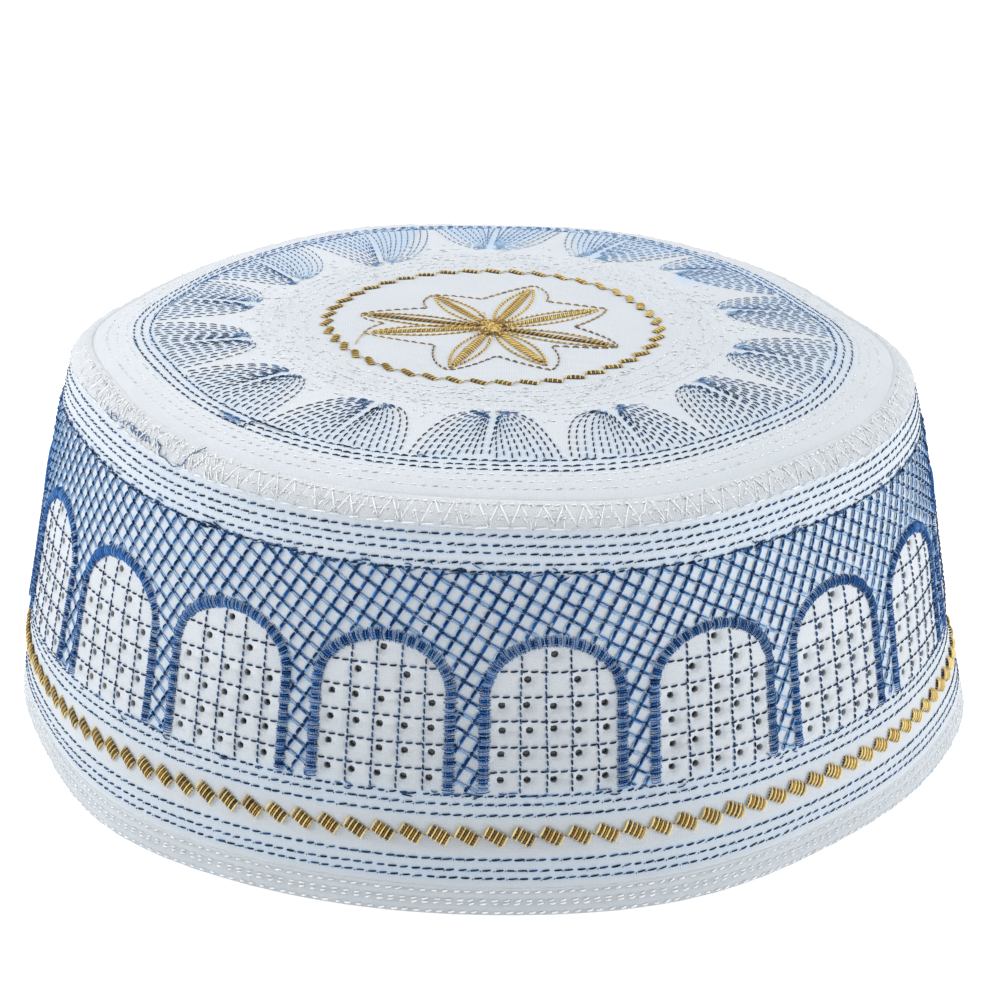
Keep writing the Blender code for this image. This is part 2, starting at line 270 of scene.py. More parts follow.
class CapForm:
    """The worn cap's outer surface, read by azimuth and run."""

    SAMPLES = 120

    def __init__(self) -> None:
        """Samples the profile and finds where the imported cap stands."""
        rows = np.array([(row.radius, row.height) for row in PROFILE])
        last = len(rows) - 1
        place = np.linspace(0, last, last * self.SAMPLES + 1)
        index = np.minimum(place.astype(int), last - 1)
        t = (place - index)[:, None]
        near = [rows[np.clip(index + shift, 0, last)] for shift in (-1, 0, 1, 2)]
        self.line = catmull_rom(*near, t)
        steps = np.linalg.norm(np.diff(self.line, axis=0), axis=1)
        self.runs = np.concatenate([[0.0], np.cumsum(steps)])
        along = np.gradient(self.line, self.runs, axis=0)
        along /= np.linalg.norm(along, axis=1)[:, None]
        self.outward = np.stack([-along[:, 1], along[:, 0]], axis=1)
        self.rim = float(self.runs[-1])
        self.table = np.array([row[1:] for row in OUT_OF_ROUND])
        self.shift = np.zeros(3)
        ring = self.point(np.arange(0.0, 360.0, 360.0 / 54), self.rim, -0.5)
        low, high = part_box("rim_hem")
        middle = (np.array(low) + np.array(high)) / 2
        own = (ring.min(axis=0) + ring.max(axis=0)) / 2
        self.shift = np.array([middle[0] - own[0], middle[1] - own[1], 0.0]) / MM

    def radius(self, run: Array) -> Array:
        """Radius of the true round cap at a run."""
        return np.interp(run, self.runs, self.line[:, 0])

    def degrees(self, arc: Array, run: Array) -> Array:
        """Azimuth that an arc in millimetres spans at a run."""
        return np.degrees(arc / np.maximum(self.radius(run), 1.0))

    def bent(self, points: Array) -> Array:
        """Moves points of the true round cap to where the worn cap has them.

        Args:
            points: x, y and z in millimetres along the last axis.

        Returns:
            The moved points.
        """
        count = len(self.table)
        place = (np.degrees(np.arctan2(points[..., 1], points[..., 0])) % 360.0) * count / 360.0
        index = np.floor(place).astype(int)
        t = (place - index)[..., None]
        near = [self.table[(index + shift) % count] for shift in (-1, 0, 1, 2)]
        rim, foot, join, lift = np.moveaxis(catmull_rom(*near, t), -1, 0)
        lower = np.clip(points[..., 2] / FOOT_HEIGHT, 0.0, 1.0)
        upper = np.clip((points[..., 2] - FOOT_HEIGHT) / (JOIN_HEIGHT - FOOT_HEIGHT), 0.0, 1.0)
        radius = np.maximum(np.hypot(points[..., 0], points[..., 1]), 1e-6)
        reach = np.minimum(radius / JOIN_RADIUS, 1.0)
        push = (rim * (1 - lower) + foot * lower * (1 - upper) + join * upper) * reach**1.5
        scale = (radius + push) / radius
        moved = points * np.stack([scale, scale, np.ones_like(scale)], axis=-1)
        moved[..., 2] += lift * upper**2 * reach**3
        return moved

    def point(self, azimuth: Array, run: Array, offset: Array = 0.0) -> Array:
        """Points on the worn cap, or off it by offset, in metres.

        Args:
            azimuth: degrees from +X.
            run: millimetres along the profile.
            offset: millimetres outwards from the surface.

        Returns:
            An array whose last axis holds x, y and z.
        """
        azimuth, run, offset = np.broadcast_arrays(
            np.asarray(azimuth, float), np.asarray(run, float), np.asarray(offset, float)
        )
        radius = np.interp(run, self.runs, self.line[:, 0])
        height = np.interp(run, self.runs, self.line[:, 1])
        out_r = np.interp(run, self.runs, self.outward[:, 0])
        out_z = np.interp(run, self.runs, self.outward[:, 1])
        radius = radius + out_r * offset
        height = np.maximum(height + out_z * offset, 0.0)
        angle = np.radians(azimuth)
        flat = np.stack([radius * np.cos(angle), radius * np.sin(angle), height], axis=-1)
        return (self.bent(flat) + self.shift) * MM

    def normal(self, azimuth: Array, run: Array) -> Array:
        """Unit vectors that point straight out of the worn cap.

        Args:
            azimuth: degrees from +X.
            run: millimetres along the profile.

        Returns:
            An array whose last axis holds x, y and z.
        """
        step = 0.2
        turn = self.degrees(step, np.maximum(run, 2.0))
        across = self.point(azimuth + turn, run) - self.point(azimuth - turn, run)
        along = self.point(azimuth, run + step) - self.point(azimuth, run - step)
        out = np.cross(along, across)
        return out / np.maximum(np.linalg.norm(out, axis=-1), 1e-12)[..., None]


FORM = CapForm()


class Socket:
    """Wraps an output so that Python operators add the matching nodes."""

    def __init__(self, nodes: "Nodes", out: bpy.types.NodeSocket) -> None:
        """Keeps the tree and the output."""
        self.nodes = nodes
        self.out = out

    def _math(self, operation: str, other: "Socket | float", swap: bool = False) -> "Socket":
        """Adds one Math node on this value and another."""
        pair = (other, self) if swap else (self, other)
        return self.nodes.add("ShaderNodeMath", {"operation": operation}, {0: pair[0], 1: pair[1]})

    def __add__(self, other: "Socket | float") -> "Socket":
        """Sum."""
        return self._math("ADD", other)

    __radd__ = __add__

    def __sub__(self, other: "Socket | float") -> "Socket":
        """Difference."""
        return self._math("SUBTRACT", other)

    def __rsub__(self, other: float) -> "Socket":
        """Reflected difference."""
        return self._math("SUBTRACT", other, swap=True)

    def __mul__(self, other: "Socket | float") -> "Socket":
        """Product."""
        return self._math("MULTIPLY", other)

    __rmul__ = __mul__


class Nodes:
    """Builds one material's node tree."""

    def __init__(self, name: str) -> None:
        """Starts a material with a Principled shader."""
        self.material = bpy.data.materials.new(name)
        self.material.use_nodes = True
        self.tree = self.material.node_tree
        self.shader = self.tree.nodes["Principled BSDF"]

    def add(
        self, kind: str, settings: dict | None = None, inputs: dict | None = None, out: int | str = 0
    ) -> Socket:
        """Adds a node.

        Args:
            kind: the node's type.
            settings: properties that are set first; "stops" fills a ramp.
            inputs: values or links by socket name or number.
            out: which output to hand back.

        Returns:
            The chosen output, wrapped.
        """
        node = self.tree.nodes.new(kind)
        for key, value in (settings or {}).items():
            if key == "stops":
                ramp = node.color_ramp.elements
                while len(ramp) < len(value):
                    ramp.new(0.5)
                for element, (position, colour) in zip(ramp, value):
                    element.position = position
                    element.color = (*colour, 1.0)
            else:
                setattr(node, key, value)
        for key, value in (inputs or {}).items():
            self.feed(node.inputs[key], value)
        return Socket(self, node.outputs[out])

    def feed(self, socket: bpy.types.NodeSocket, value: "Socket | float | tuple") -> None:
        """Sets or links one input.

        Args:
            socket: the input.
            value: a value, or an output to link.
        """
        if isinstance(value, Socket):
            self.tree.links.new(value.out, socket)
        elif isinstance(value, tuple) and len(value) == 3 and socket.type == "RGBA":
            socket.default_value = (*value, 1.0)
        else:
            socket.default_value = value

    def mix(self, factor: "Socket | float", first: "Socket | tuple", second: "Socket | tuple") -> Socket:
        """Mixes two colours.

        Args:
            factor: 0 for the first to 1 for the second.
            first: a colour.
            second: another colour.

        Returns:
            The mixed colour.
        """
        node = self.tree.nodes.new("ShaderNodeMix")
        node.data_type = "RGBA"
        self.feed(node.inputs[0], factor)
        self.feed(node.inputs[6], first)
        self.feed(node.inputs[7], second)
        return Socket(self, node.outputs[2])

    def attribute(self, name: str) -> Socket:
        """Reads a number that the mesh carries at its points."""
        return self.add("ShaderNodeAttribute", {"attribute_name": name}, out="Fac")

    def place(self) -> Socket:
        """Object coordinates."""
        return self.add("ShaderNodeTexCoord", out="Object")

    def noise(self, scale: float, detail: float = 2.0, roughness: float = 0.5) -> Socket:
        """Noise on Object coordinates."""
        return self.add(
            "ShaderNodeTexNoise",
            inputs={"Vector": self.place(), "Scale": scale, "Detail": detail, "Roughness": roughness},
        )

    def set(self, **values: "Socket | float | tuple") -> None:
        """Feeds the shader's sockets by name, with _ for a space."""
        for key, value in values.items():
            self.feed(self.shader.inputs[key.replace("_", " ")], value)

    def bump(self, height: Socket, distance: float) -> Socket:
        """Turns a height into a normal."""
        inputs = {"Height": height, "Distance": distance, "Strength": 1.0}
        return self.add("ShaderNodeBump", inputs=inputs, out="Normal")


@dataclass(frozen=True)
class ClothFinish:
    """White cotton cloth with a fine weave, tinted by painted blue light that shines off the thread close by,
    and darkened by painted shade.
    """

    name: str
    plain: Colour
    shade: Colour
    tinted: Colour
    depth: float = 0.00005

    def material(self) -> bpy.types.Material:
        """Builds the cloth.

        Returns:
            The material.
        """
        nodes = Nodes(self.name)
        tint = nodes.attribute("tint")
        dim = nodes.attribute("dim")
        blotch = nodes.noise(90.0, 3.0)
        grain = nodes.noise(2600.0, 2.0, 0.7)
        thread = nodes.add("ShaderNodeUVMap", {"uv_map": "weave"})
        across = self._ribs(nodes, thread, "X")
        along = self._ribs(nodes, thread, "Y")
        # Painted shade: the cloth turns towards its shade colour where the painted-shade attribute is high.
        base = nodes.mix(blotch * 0.25 + dim, self.plain, self.shade)
        # Painted blue light from the thread close by, read from the tint attribute.
        coloured = nodes.mix(tint * (0.75 + blotch * 0.4), base, self.tinted)
        speck = nodes.mix((grain - 0.5) * 0.5 + 0.08, coloured, self.shade)
        nodes.set(Base_Color=speck, Roughness=0.86, Specular_IOR_Level=0.25, Sheen_Weight=0.15)
        height = across * 0.3 + along * 0.3 + grain * 0.9 + nodes.noise(420.0, 3.0) * 2.6
        nodes.set(Normal=nodes.bump(height, self.depth))
        return nodes.material

    def _ribs(self, nodes: Nodes, vector: Socket, direction: str) -> Socket:
        """One set of the weave's threads, from the map in millimetres."""
        return nodes.add(
            "ShaderNodeTexWave",
            {"wave_type": "BANDS", "bands_direction": direction, "wave_profile": "SIN"},
            {"Vector": vector, "Scale": 0.7, "Distortion": 1.2, "Detail": 1.0, "Detail Scale": 0.6},
            "Fac",
        )


@dataclass(frozen=True)
class ThreadFinish:
    """Shiny embroidery thread, darker or lighter stitch by stitch."""

    name: str
    dark: Colour
    middle: Colour
    light: Colour
    roughness: float = 0.55
    shine: float = 0.12
    ply: float = 0.00003

    def material(self) -> bpy.types.Material:
        """Builds the thread.

        Returns:
            The material.
        """
        nodes = Nodes(self.name)
        shade = nodes.attribute("shade")
        flecks = nodes.noise(1400.0, 2.0)
        lit = nodes.add(
            "ShaderNodeValToRGB",
            {"stops": ((0.0, self.dark), (0.5, self.middle), (1.0, self.light))},
            {0: shade + (flecks - 0.5) * 0.22},
            "Color",
        )
        map_uv = nodes.add("ShaderNodeUVMap", {"uv_map": "thread"})
        twist = nodes.add(
            "ShaderNodeTexWave",
            {"wave_type": "BANDS", "bands_direction": "DIAGONAL", "wave_profile": "SIN"},
            {"Vector": map_uv, "Scale": 0.9, "Distortion": 0.4},
            "Fac",
        )
        nodes.set(Base_Color=lit, Roughness=self.roughness, Specular_IOR_Level=self.shine)
        nodes.set(Normal=nodes.bump(twist, self.ply))
        return nodes.material


class Thread(Enum):
    """The threads that the cap is embroidered with."""

    NAVY = "navy_thread"
    BLUE = "blue_thread"
    WHITE = "white_thread"
    GOLD = "gold_thread"

    @property
    def slot(self) -> str:
        """The record's material slot of pieces in this thread."""
        return {Thread.WHITE: "white_tape", Thread.GOLD: "gold_thread"}.get(self, "blue_thread")


class Finishes:
    """Every finish, made once."""

    def __init__(self) -> None:
        """Builds the materials."""
        self.cloth = ClothFinish(
            "white_cotton", (0.75, 0.785, 0.82), (0.51, 0.55, 0.585), (0.44, 0.64, 0.86)
        ).material()
        self.tape = ClothFinish(
            "white_tape", (0.76, 0.78, 0.80), (0.50, 0.54, 0.58), (0.44, 0.65, 0.88), depth=0.00010
        ).material()
        # Vent edges: a flat dark grey that is painted shade inside the vents and the tape's needle holes.
        vent = Nodes("vent_edge_shade")
        vent.set(Base_Color=(0.30, 0.32, 0.34), Roughness=0.95)
        self.vent = vent.material
        colours = {
            Thread.NAVY: ((0.003, 0.018, 0.058), (0.035, 0.14, 0.36), (0.34, 0.57, 0.82)),
            Thread.BLUE: ((0.003, 0.020, 0.085), (0.035, 0.17, 0.50), (0.34, 0.60, 0.90)),
            Thread.WHITE: ((0.60, 0.62, 0.64), (0.84, 0.86, 0.88), (1.0, 1.0, 1.0), 0.55, 0.3),
            Thread.GOLD: ((0.050, 0.021, 0.004), (0.52, 0.28, 0.04), (1.0, 0.78, 0.27), 0.30, 0.7),
        }
        self.threads = {
            thread: ThreadFinish(thread.value, *look).material() for thread, look in colours.items()
        }

    def sew(self, stitches: "StitchField", thread: Thread, *replaced: str) -> None:
        """Joins stitches into one piece and dresses it in its thread.

        Args:
            stitches: every stitch of the piece.
            thread: what they are sewn with.
            replaced: the CAD nodes that the piece stands for.
        """
        dress(stitches.build(), self.threads[thread], thread.slot, replaced)


def dress(
    thing: bpy.types.Object, material: bpy.types.Material, slot: str, replaced: tuple[str, ...] = ()
) -> None:
    """Gives a finished piece its material and body.

    Args:
        thing: the piece.
        material: its finish.
        slot: the record's material slot; not used.
        replaced: the CAD nodes that it stands for.
    """
    thing.data.materials.append(material)
    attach(thing, "root")
    if replaced:
        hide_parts(*replaced)
    LOG.info("%s: %d faces", thing.name, len(thing.data.polygons))


def add_mesh_object(name: str, mesh: bpy.types.Mesh) -> bpy.types.Object:
    """Links a mesh as an object at the origin.

    Args:
        name: the object's name.
        mesh: its mesh.

    Returns:
        The object.
    """
    thing = bpy.data.objects.new(name, mesh)
    bpy.context.scene.collection.objects.link(thing)
    return thing


def stitch_template(sides: int, rings: int, fullness: float) -> tuple[Array, Array]:
    """Corners and triangles of one stitch, lying along X from -1 to 1.

    Args:
        sides: corners round the thread.
        rings: steps along it.
        fullness: below 1, the thread keeps its thickness towards its ends.

    Returns:
        The corners and the triangles that join them.
    """
    shape = bmesh.new()
    bmesh.ops.create_uvsphere(shape, u_segments=sides, v_segments=rings, radius=1.0)
    bmesh.ops.rotate(shape, cent=(0, 0, 0), matrix=Matrix.Rotation(math.pi, 3, "Z"), verts=shape.verts)
    bmesh.ops.rotate(shape, cent=(0, 0, 0), matrix=Matrix.Rotation(math.pi / 2, 3, "Y"), verts=shape.verts)
    bmesh.ops.triangulate(shape, faces=shape.faces)
    shape.verts.ensure_lookup_table()
    corners = np.array([tuple(vert.co) for vert in shape.verts])
    thickness = np.hypot(corners[:, 1], corners[:, 2])
    inner = thickness > 1e-4
    corners[inner, 1:] *= (thickness[inner] ** (fullness - 1))[:, None]
    triangles = np.array([[vert.index for vert in face.verts] for face in shape.faces])
    shape.free()
    return corners, triangles


def level_ground(azimuth: Array, run: Array) -> Array:
    """Cloth without relief."""
    return 0.0 * (np.asarray(azimuth) + np.asarray(run))


@dataclass
class StitchField:
    """Many stitches of one thread, collected and then joined into one mesh."""

    name: str
    width: float = 0.42
    height: float = 0.36
    rise: float = 0.16
    sink: float = 0.06
    sides: int = 3
    rings: int = 4
    fullness: float = 0.45
    ground: Spread = level_ground
    parts: list[Array] = field(default_factory=list)

    def add(
        self,
        start: Ends,
        end: Ends,
        shade: Array = 0.3,
        width: Array = 1.0,
        lift: Array = 0.0,
        bend: Array = 0.0,
    ) -> None:
        """Adds stitches.

        Args:
            start: azimuth and run of each stitch's first end.
            end: azimuth and run of its other end.
            shade: 0 for the dark of the thread to 1 for its light.
            width: a factor on the thread's thickness.
            lift: height over the cloth, in millimetres.
            bend: how far the middle bows to one side, in millimetres.
        """
        values = (*start, *end, shade, width, lift, bend)
        flat = np.broadcast_arrays(*[np.asarray(value, float) for value in values])
        self.parts.append(np.stack([part.ravel() for part in flat], axis=1))

    def add_path(self, places: Array, shade: Array, width: float = 1.0, lift: float = 0.0) -> None:
        """Adds a stitch from each place of a loose thread to the next.

        Args:
            places: rows of azimuth and run.
            shade: as for add.
            width: as for add.
            lift: as for add.
        """
        azimuth, run = np.asarray(places).T
        self.add((azimuth[:-1], run[:-1]), (azimuth[1:], run[1:]), shade, width=width, lift=lift)

    def build(self) -> bpy.types.Object:
        """Joins all stitches into one object.

        Returns:
            The object, at the origin.
        """
        rows = np.concatenate(self.parts)
        az0, run0, az1, run1, shade, width, lift, bend = rows.T
        corners, triangles = stitch_template(self.sides, self.rings, self.fullness)
        low_first, low_last = self.ground(az0, run0), self.ground(az1, run1)
        low_middle = self.ground((az0 + az1) / 2, (run0 + run1) / 2)
        first = FORM.point(az0, run0, lift + low_first)
        last = FORM.point(az1, run1, lift + low_last)
        out = FORM.normal((az0 + az1) / 2, (run0 + run1) / 2)
        along = (last - first) / 2
        side = np.cross(out, along)
        side /= np.maximum(np.linalg.norm(side, axis=1), 1e-12)[:, None]
        x, y, z = corners.T
        rise = self.rise + low_middle - (low_first + low_last) / 2
        bow = rise[:, None] * (1 - x**2)[None] - self.sink * (x**2)[None]
        up = z[None] * (self.height / 2) * width[:, None] + bow
        across = y[None] * (self.width / 2) * width[:, None] + bend[:, None] * (1 - x**2)[None]
        middle = (first + last) / 2
        points = (
            middle[:, None]
            + x[None, :, None] * along[:, None]
            + across[..., None] * side[:, None] * MM
            + up[..., None] * out[:, None] * MM
        )
        count, size = len(rows), len(corners)
        faces = (triangles[None] + (np.arange(count) * size)[:, None, None]).reshape(-1, 3)
        mesh = joined_mesh(self.name, points.reshape(-1, 3), faces)
        set_number(mesh, "shade", np.repeat(shade, size))
        length = np.linalg.norm(along, axis=1) / MM
        around = np.arctan2(z, y) / (2 * math.pi)
        uv = np.stack([x[None] * length[:, None], np.broadcast_to(around, (count, size))], axis=-1)
        set_map(mesh, "thread", uv.reshape(-1, 2)[face_corners(mesh)])
        mesh.shade_smooth()
        return add_mesh_object(self.name, mesh)


def joined_mesh(name: str, points: Array, triangles: Array) -> bpy.types.Mesh:
    """One mesh from stacked copies of a template.

    Args:
        name: the mesh's name.
        points: every copy's corners.
        triangles: the corners of each triangle, by number.

    Returns:
        The mesh.
    """
    mesh = bpy.data.meshes.new(name)
    mesh.vertices.add(len(points))
    mesh.vertices.foreach_set("co", points.astype(np.float32).ravel())
    mesh.loops.add(triangles.size)
    mesh.loops.foreach_set("vertex_index", triangles.astype(np.int32).ravel())
    mesh.polygons.add(len(triangles))
    mesh.polygons.foreach_set("loop_start", np.arange(len(triangles), dtype=np.int32) * 3)
    mesh.update(calc_edges=True)
    return mesh


def set_number(mesh: bpy.types.Mesh, name: str, values: Array) -> None:
    """Stores one number at each point of a mesh."""
    layer = mesh.attributes.new(name, "FLOAT", "POINT")
    layer.data.foreach_set("value", np.asarray(values, np.float32).ravel())


def face_corners(mesh: bpy.types.Mesh) -> Array:
    """The point at each corner of a mesh's faces.

    Args:
        mesh: the mesh.

    Returns:
        The points' numbers.
    """
    index = np.empty(len(mesh.loops), np.int32)
    mesh.loops.foreach_get("vertex_index", index)
    return index


def set_map(mesh: bpy.types.Mesh, name: str, values: Array) -> None:
    """Stores a flat map, given at the corners of a mesh's faces."""
    layer = mesh.uv_layers.new(name=name)
    layer.data.foreach_set("uv", np.asarray(values, np.float32).ravel())


def cap_shape() -> bmesh.types.BMesh:
    """An empty mesh whose corners can note their azimuth and run.

    Returns:
        The mesh, which its user frees.
    """
    shape = bmesh.new()
    shape.verts.layers.float.new("azimuth")
    shape.verts.layers.float.new("run")
    return shape


def settle(
    shape: bmesh.types.BMesh, verts: list[bmesh.types.BMVert], azimuth: Array, run: Array, offset: Array
) -> None:
    """Lays corners on the worn cap and notes on each where it lies.

    Args:
        shape: the mesh that holds the corners.
        verts: the corners.
        azimuth: degrees from +X.
        run: millimetres along the profile.
        offset: millimetres outwards from the surface.
    """
    turn, way = shape.verts.layers.float["azimuth"], shape.verts.layers.float["run"]
    azimuth, run, offset = np.broadcast_arrays(azimuth, run, offset)
    for vert, point, angle, level in zip(verts, FORM.point(azimuth, run, offset), azimuth, run):
        vert.co = point
        vert[turn] = angle
        vert[way] = level


def arch_reach(run: Array, inset: float = 0.0) -> Array:
    """Half width of an arch.

    Args:
        run: millimetres along the profile.
        inset: how far within the arch's line, in millimetres.

    Returns:
        Degrees, which are zero or less above the arch.
    """
    run = np.asarray(run, float)
    rise = np.clip((RUN_ARCH_SPRING - run) / (RUN_ARCH_SPRING - RUN_ARCH_HEAD - inset), 0.0, None)
    straight = ARCH_HALF_WIDTH - FORM.degrees(inset, run)
    head = straight * np.sqrt(np.clip(1 - rise**2, 0.0, None))
    return np.where(rise >= 1.0, -1.0, head)


def arch_middle(number: int) -> float:
    """Azimuth of an arch's middle."""
    return FRONT + ARCH_PHASE + number * ARCH_PITCH


def from_arch(azimuth: Array) -> Array:
    """Signed way in degrees from the middle of the nearest arch."""
    return (np.asarray(azimuth) - FRONT - ARCH_PHASE + ARCH_PITCH / 2) % ARCH_PITCH - ARCH_PITCH / 2


def ring_stitches(row: ThreadRow, dice: Dice) -> Stitches:
    """Both ends of every stitch of a row round the cap.

    Args:
        row: the row's place and its stitch.
        dice: gives the small unevenness.

    Returns:
        The start and the end of each stitch, as azimuth and run.
    """
    around = 2 * math.pi * float(FORM.radius(row.run))
    count = int(round(around / row.pitch))
    step = 360.0 / count
    drift = np.interp(np.arange(count), np.linspace(0, count, 60), dice.normal(0, row.wander, 60))
    middle = np.arange(count) * step + dice.normal(0, 0.05 * step, count)
    half = step * row.dash / row.pitch / 2 * (1 + dice.normal(0, 0.08, count))
    tilt = dice.normal(0.10, 0.05, count)
    run = row.run + drift
    return (middle - half, run + tilt), (middle + half, run - tilt)


def add_row(
    row: ThreadRow, dashes: StitchField, dots: StitchField, shade: Callable[[Array], Array], dice: Dice
) -> None:
    """Sews one row round the cap: slanted dashes, each with the dot of the next one's start.

    Args:
        row: the row's place and its stitch.
        dashes: takes the long stitches.
        dots: takes the short ones between them.
        shade: gives the thread's shade at an azimuth.
        dice: gives the small unevenness.
    """
    start, end = ring_stitches(row, dice)
    tone = np.clip(shade(start[0]) + dice.normal(0, 0.09, len(start[0])), 0, 1)
    dashes.add(start, end, tone, width=1 + dice.normal(0, 0.08, len(tone)), lift=0.06)
    gap = FORM.degrees(row.pitch - row.dash, row.run)
    reach = dice.uniform(0.55, 0.85, len(tone))
    kept = dice.random(len(tone)) < 0.72
    first = (start[0] - gap * reach, start[1] + 0.16)
    last = (start[0] - gap * (reach - 0.55), start[1] + 0.02)
    dots.add((first[0][kept], first[1][kept]), (last[0][kept], last[1][kept]), tone[kept], lift=0.06)


def path_stitches(azimuth: Array, run: Array, stitch: Stitch, phase: float = 0.5) -> Stitches:
    """Stitches that follow a drawn line.

    Args:
        azimuth: the line's azimuths.
        run: the line's runs.
        stitch: how it is sewn.
        phase: where the first stitch lies, from 0 to 1 of a pitch.

    Returns:
        The start and the end of each stitch, as azimuth and run.
    """
    points = FORM.point(azimuth, run) / MM
    way = np.concatenate([[0.0], np.cumsum(np.linalg.norm(np.diff(points, axis=0), axis=1))])
    count = max(int(round(way[-1] / stitch.pitch)), 1)
    step = way[-1] / count
    first = (np.arange(count) + phase) * step - stitch.dash / 2
    last = first + stitch.dash
    start = (np.interp(first, way, azimuth), np.interp(first, way, run))
    end = (np.interp(last, way, azimuth), np.interp(last, way, run))
    return start, end


def bezier(points: Array, count: int) -> Array:
    """Points on a quadratic curve through three control points."""
    t = np.linspace(0, 1, count)[:, None]
    return (1 - t) ** 2 * points[0] + 2 * t * (1 - t) * points[1] + t**2 * points[2]


def facing(azimuth: Array, towards: float = FRONT) -> Array:
    """How squarely an azimuth faces one way, from 0 to 1."""
    return np.clip(np.cos(np.radians(np.asarray(azimuth) - towards)), 0, 1)


def light_side(azimuth: Array, brightest: float = 110.0) -> Array:
    """How much the thread's sheen shows, from 0 to 1 where it is brightest."""
    return 0.5 + 0.5 * np.cos(np.radians(turn_gap(azimuth, brightest)))


@dataclass
class Crown:
    """The round top: cloth, fans, gold ring, flower and rows of stitches."""

    finishes: Finishes
    fans: tuple[FanRow, ...] = (
        FanRow(270.4, 44.9),
        FanRow(296.3, 46.4),
        FanRow(322.8, 46.3),
        FanRow(347.3, 45.8),
        FanRow(14.8, 46.7),
        FanRow(44.6, 49.6),
        FanRow(64.7, 46.3),
        FanRow(90.5, 46.5),
        FanRow(121.0, 41.6),
        FanRow(146.6, 45.5),
        FanRow(167.7, 46.8),
        FanRow(192.9, 46.8),
        FanRow(216.9, 46.3),
        FanRow(244.0, 46.6),
    )
    outer_steps: int = 170
    inner_steps: int = 48
    lines_per_half: int = 10
    run_fan_tip: float = 46.2
    run_fan_foot: float = 64.0
    fan_stitch: Stitch = Stitch(2.2, 1.72)
    cluster: float = 1.8
    cluster_stitches: int = 12
    frayed_stitches: int = 110
    join_stitches: int = 26
    knots: int = 150
    vein_pitch: float = 0.46
    outline_pitch: float = 0.62
    contour_stitch: Stitch = Stitch(1.75, 1.45)
    blue_rows: tuple[ThreadRow, ...] = (
        ThreadRow(64.3, 1.75, 1.35, 0.10),
        ThreadRow(65.95, 2.05, 1.6, 0.06),
        ThreadRow(67.5, 2.05, 1.6, 0.06),
    )
    white_rows: tuple[ThreadRow, ...] = (
        ThreadRow(68.9, 1.95, 1.2, 0.06),
        ThreadRow(70.7, 1.95, 1.2, 0.06),
        ThreadRow(72.7, 1.95, 1.2, 0.06),
        ThreadRow(35.2, 1.5, 1.1, 0.14),
        ThreadRow(37.4, 1.5, 1.1, 0.14),
        ThreadRow(39.6, 1.5, 1.1, 0.14),
        ThreadRow(41.8, 1.5, 1.1, 0.12),
        ThreadRow(43.6, 1.5, 1.2, 0.08),
    )
    ring_blocks: int = 43
    run_ring: float = 31.4
    seeds: int = 760
    petals: tuple[PetalRow, ...] = (
        PetalRow(72.5, 25.2, 1.0, 0.66, 27.0, 2.6, 4.4),
        PetalRow(31.3, 23.9, 1.0, 0.82, 25.9, 2.6, 3.8),
        PetalRow(341.6, 24.4, 0.7, 0.26, 25.0, 3.4, 2.2),
        PetalRow(298.1, 21.2, 1.15, 0.60, 23.6, 4.8, 3.0),
        PetalRow(250.3, 22.5, 1.05, 0.50, 23.6, 3.0, 4.8),
        PetalRow(188.0, 23.6, 0.9, 0.82, 24.6, 2.4, 3.4),
        PetalRow(164.0, 25.7, 0.7, 0.30, 26.2, 3.2, 2.6),
        PetalRow(121.6, 21.6, 0.85, 0.64, 22.2, 4.4, 2.6),
    )
    valleys: tuple[ValleyRow, ...] = (
        ValleyRow(57.5, 19.3),
        ValleyRow(8.0, 15.6),
        ValleyRow(322.0, 14.2),
        ValleyRow(273.5, 14.8),
        ValleyRow(222.0, 14.4),
        ValleyRow(173.8, 20.4),
        ValleyRow(138.8, 16.8),
        ValleyRow(97.0, 17.0),
    )
    join: Place = Place(223.4, 66.5)
    join_loop: tuple[Place, ...] = (
        Place(229.2, 67.3),
        Place(229.3, 66.2),
        Place(229.8, 64.9),
        Place(231.6, 64.7),
        Place(233.7, 64.8),
        Place(235.8, 64.9),
    )
    gold_end: tuple[Place, ...] = (Place(207.7, 29.2), Place(202.0, 27.2), Place(196.4, 25.1))

    def build(self) -> None:
        """Builds every piece of the top."""
        self._cloth()
        self._fans()
        self._rows()
        self._gold_ring()
        self._flower()

    def from_fan(self, azimuth: Array) -> Array:
        """Signed way in degrees from the middle of the nearest fan's foot."""
        half = 180.0 / len(self.fans)
        return (np.asarray(azimuth) - FRONT + half) % (2 * half) - half

    def relief(self, azimuth: Array, run: Array) -> Array:
        """How far the stitched cloth stands off the plain form.

        Args:
            azimuth: degrees from +X.
            run: millimetres along the profile.

        Returns:
            Millimetres outwards.
        """
        height = 0.10 * np.sin(np.radians(azimuth) * 5 + run * 0.12) * smooth_step(20, 60, run)
        for row in self.blue_rows + self.white_rows:
            height = height - 0.16 * ridge(run, row.run, 0.45)
        fan = smooth_step(self.run_fan_tip, self.run_fan_tip + 3, run) * (1 - smooth_step(62.5, 64, run))
        lean = np.abs(self.from_fan(azimuth))
        height = height + 0.28 * fan * np.cos(np.clip(lean / 11, 0, 1) * math.pi / 2)
        worn = np.sin(np.radians(azimuth) * 23 + run * 0.9) * np.sin(np.radians(azimuth) * 31 - run * 1.3)
        return height - 0.12 * ridge(run, self.run_ring, 2.2) + 0.05 * worn * smooth_step(66, 69, run)

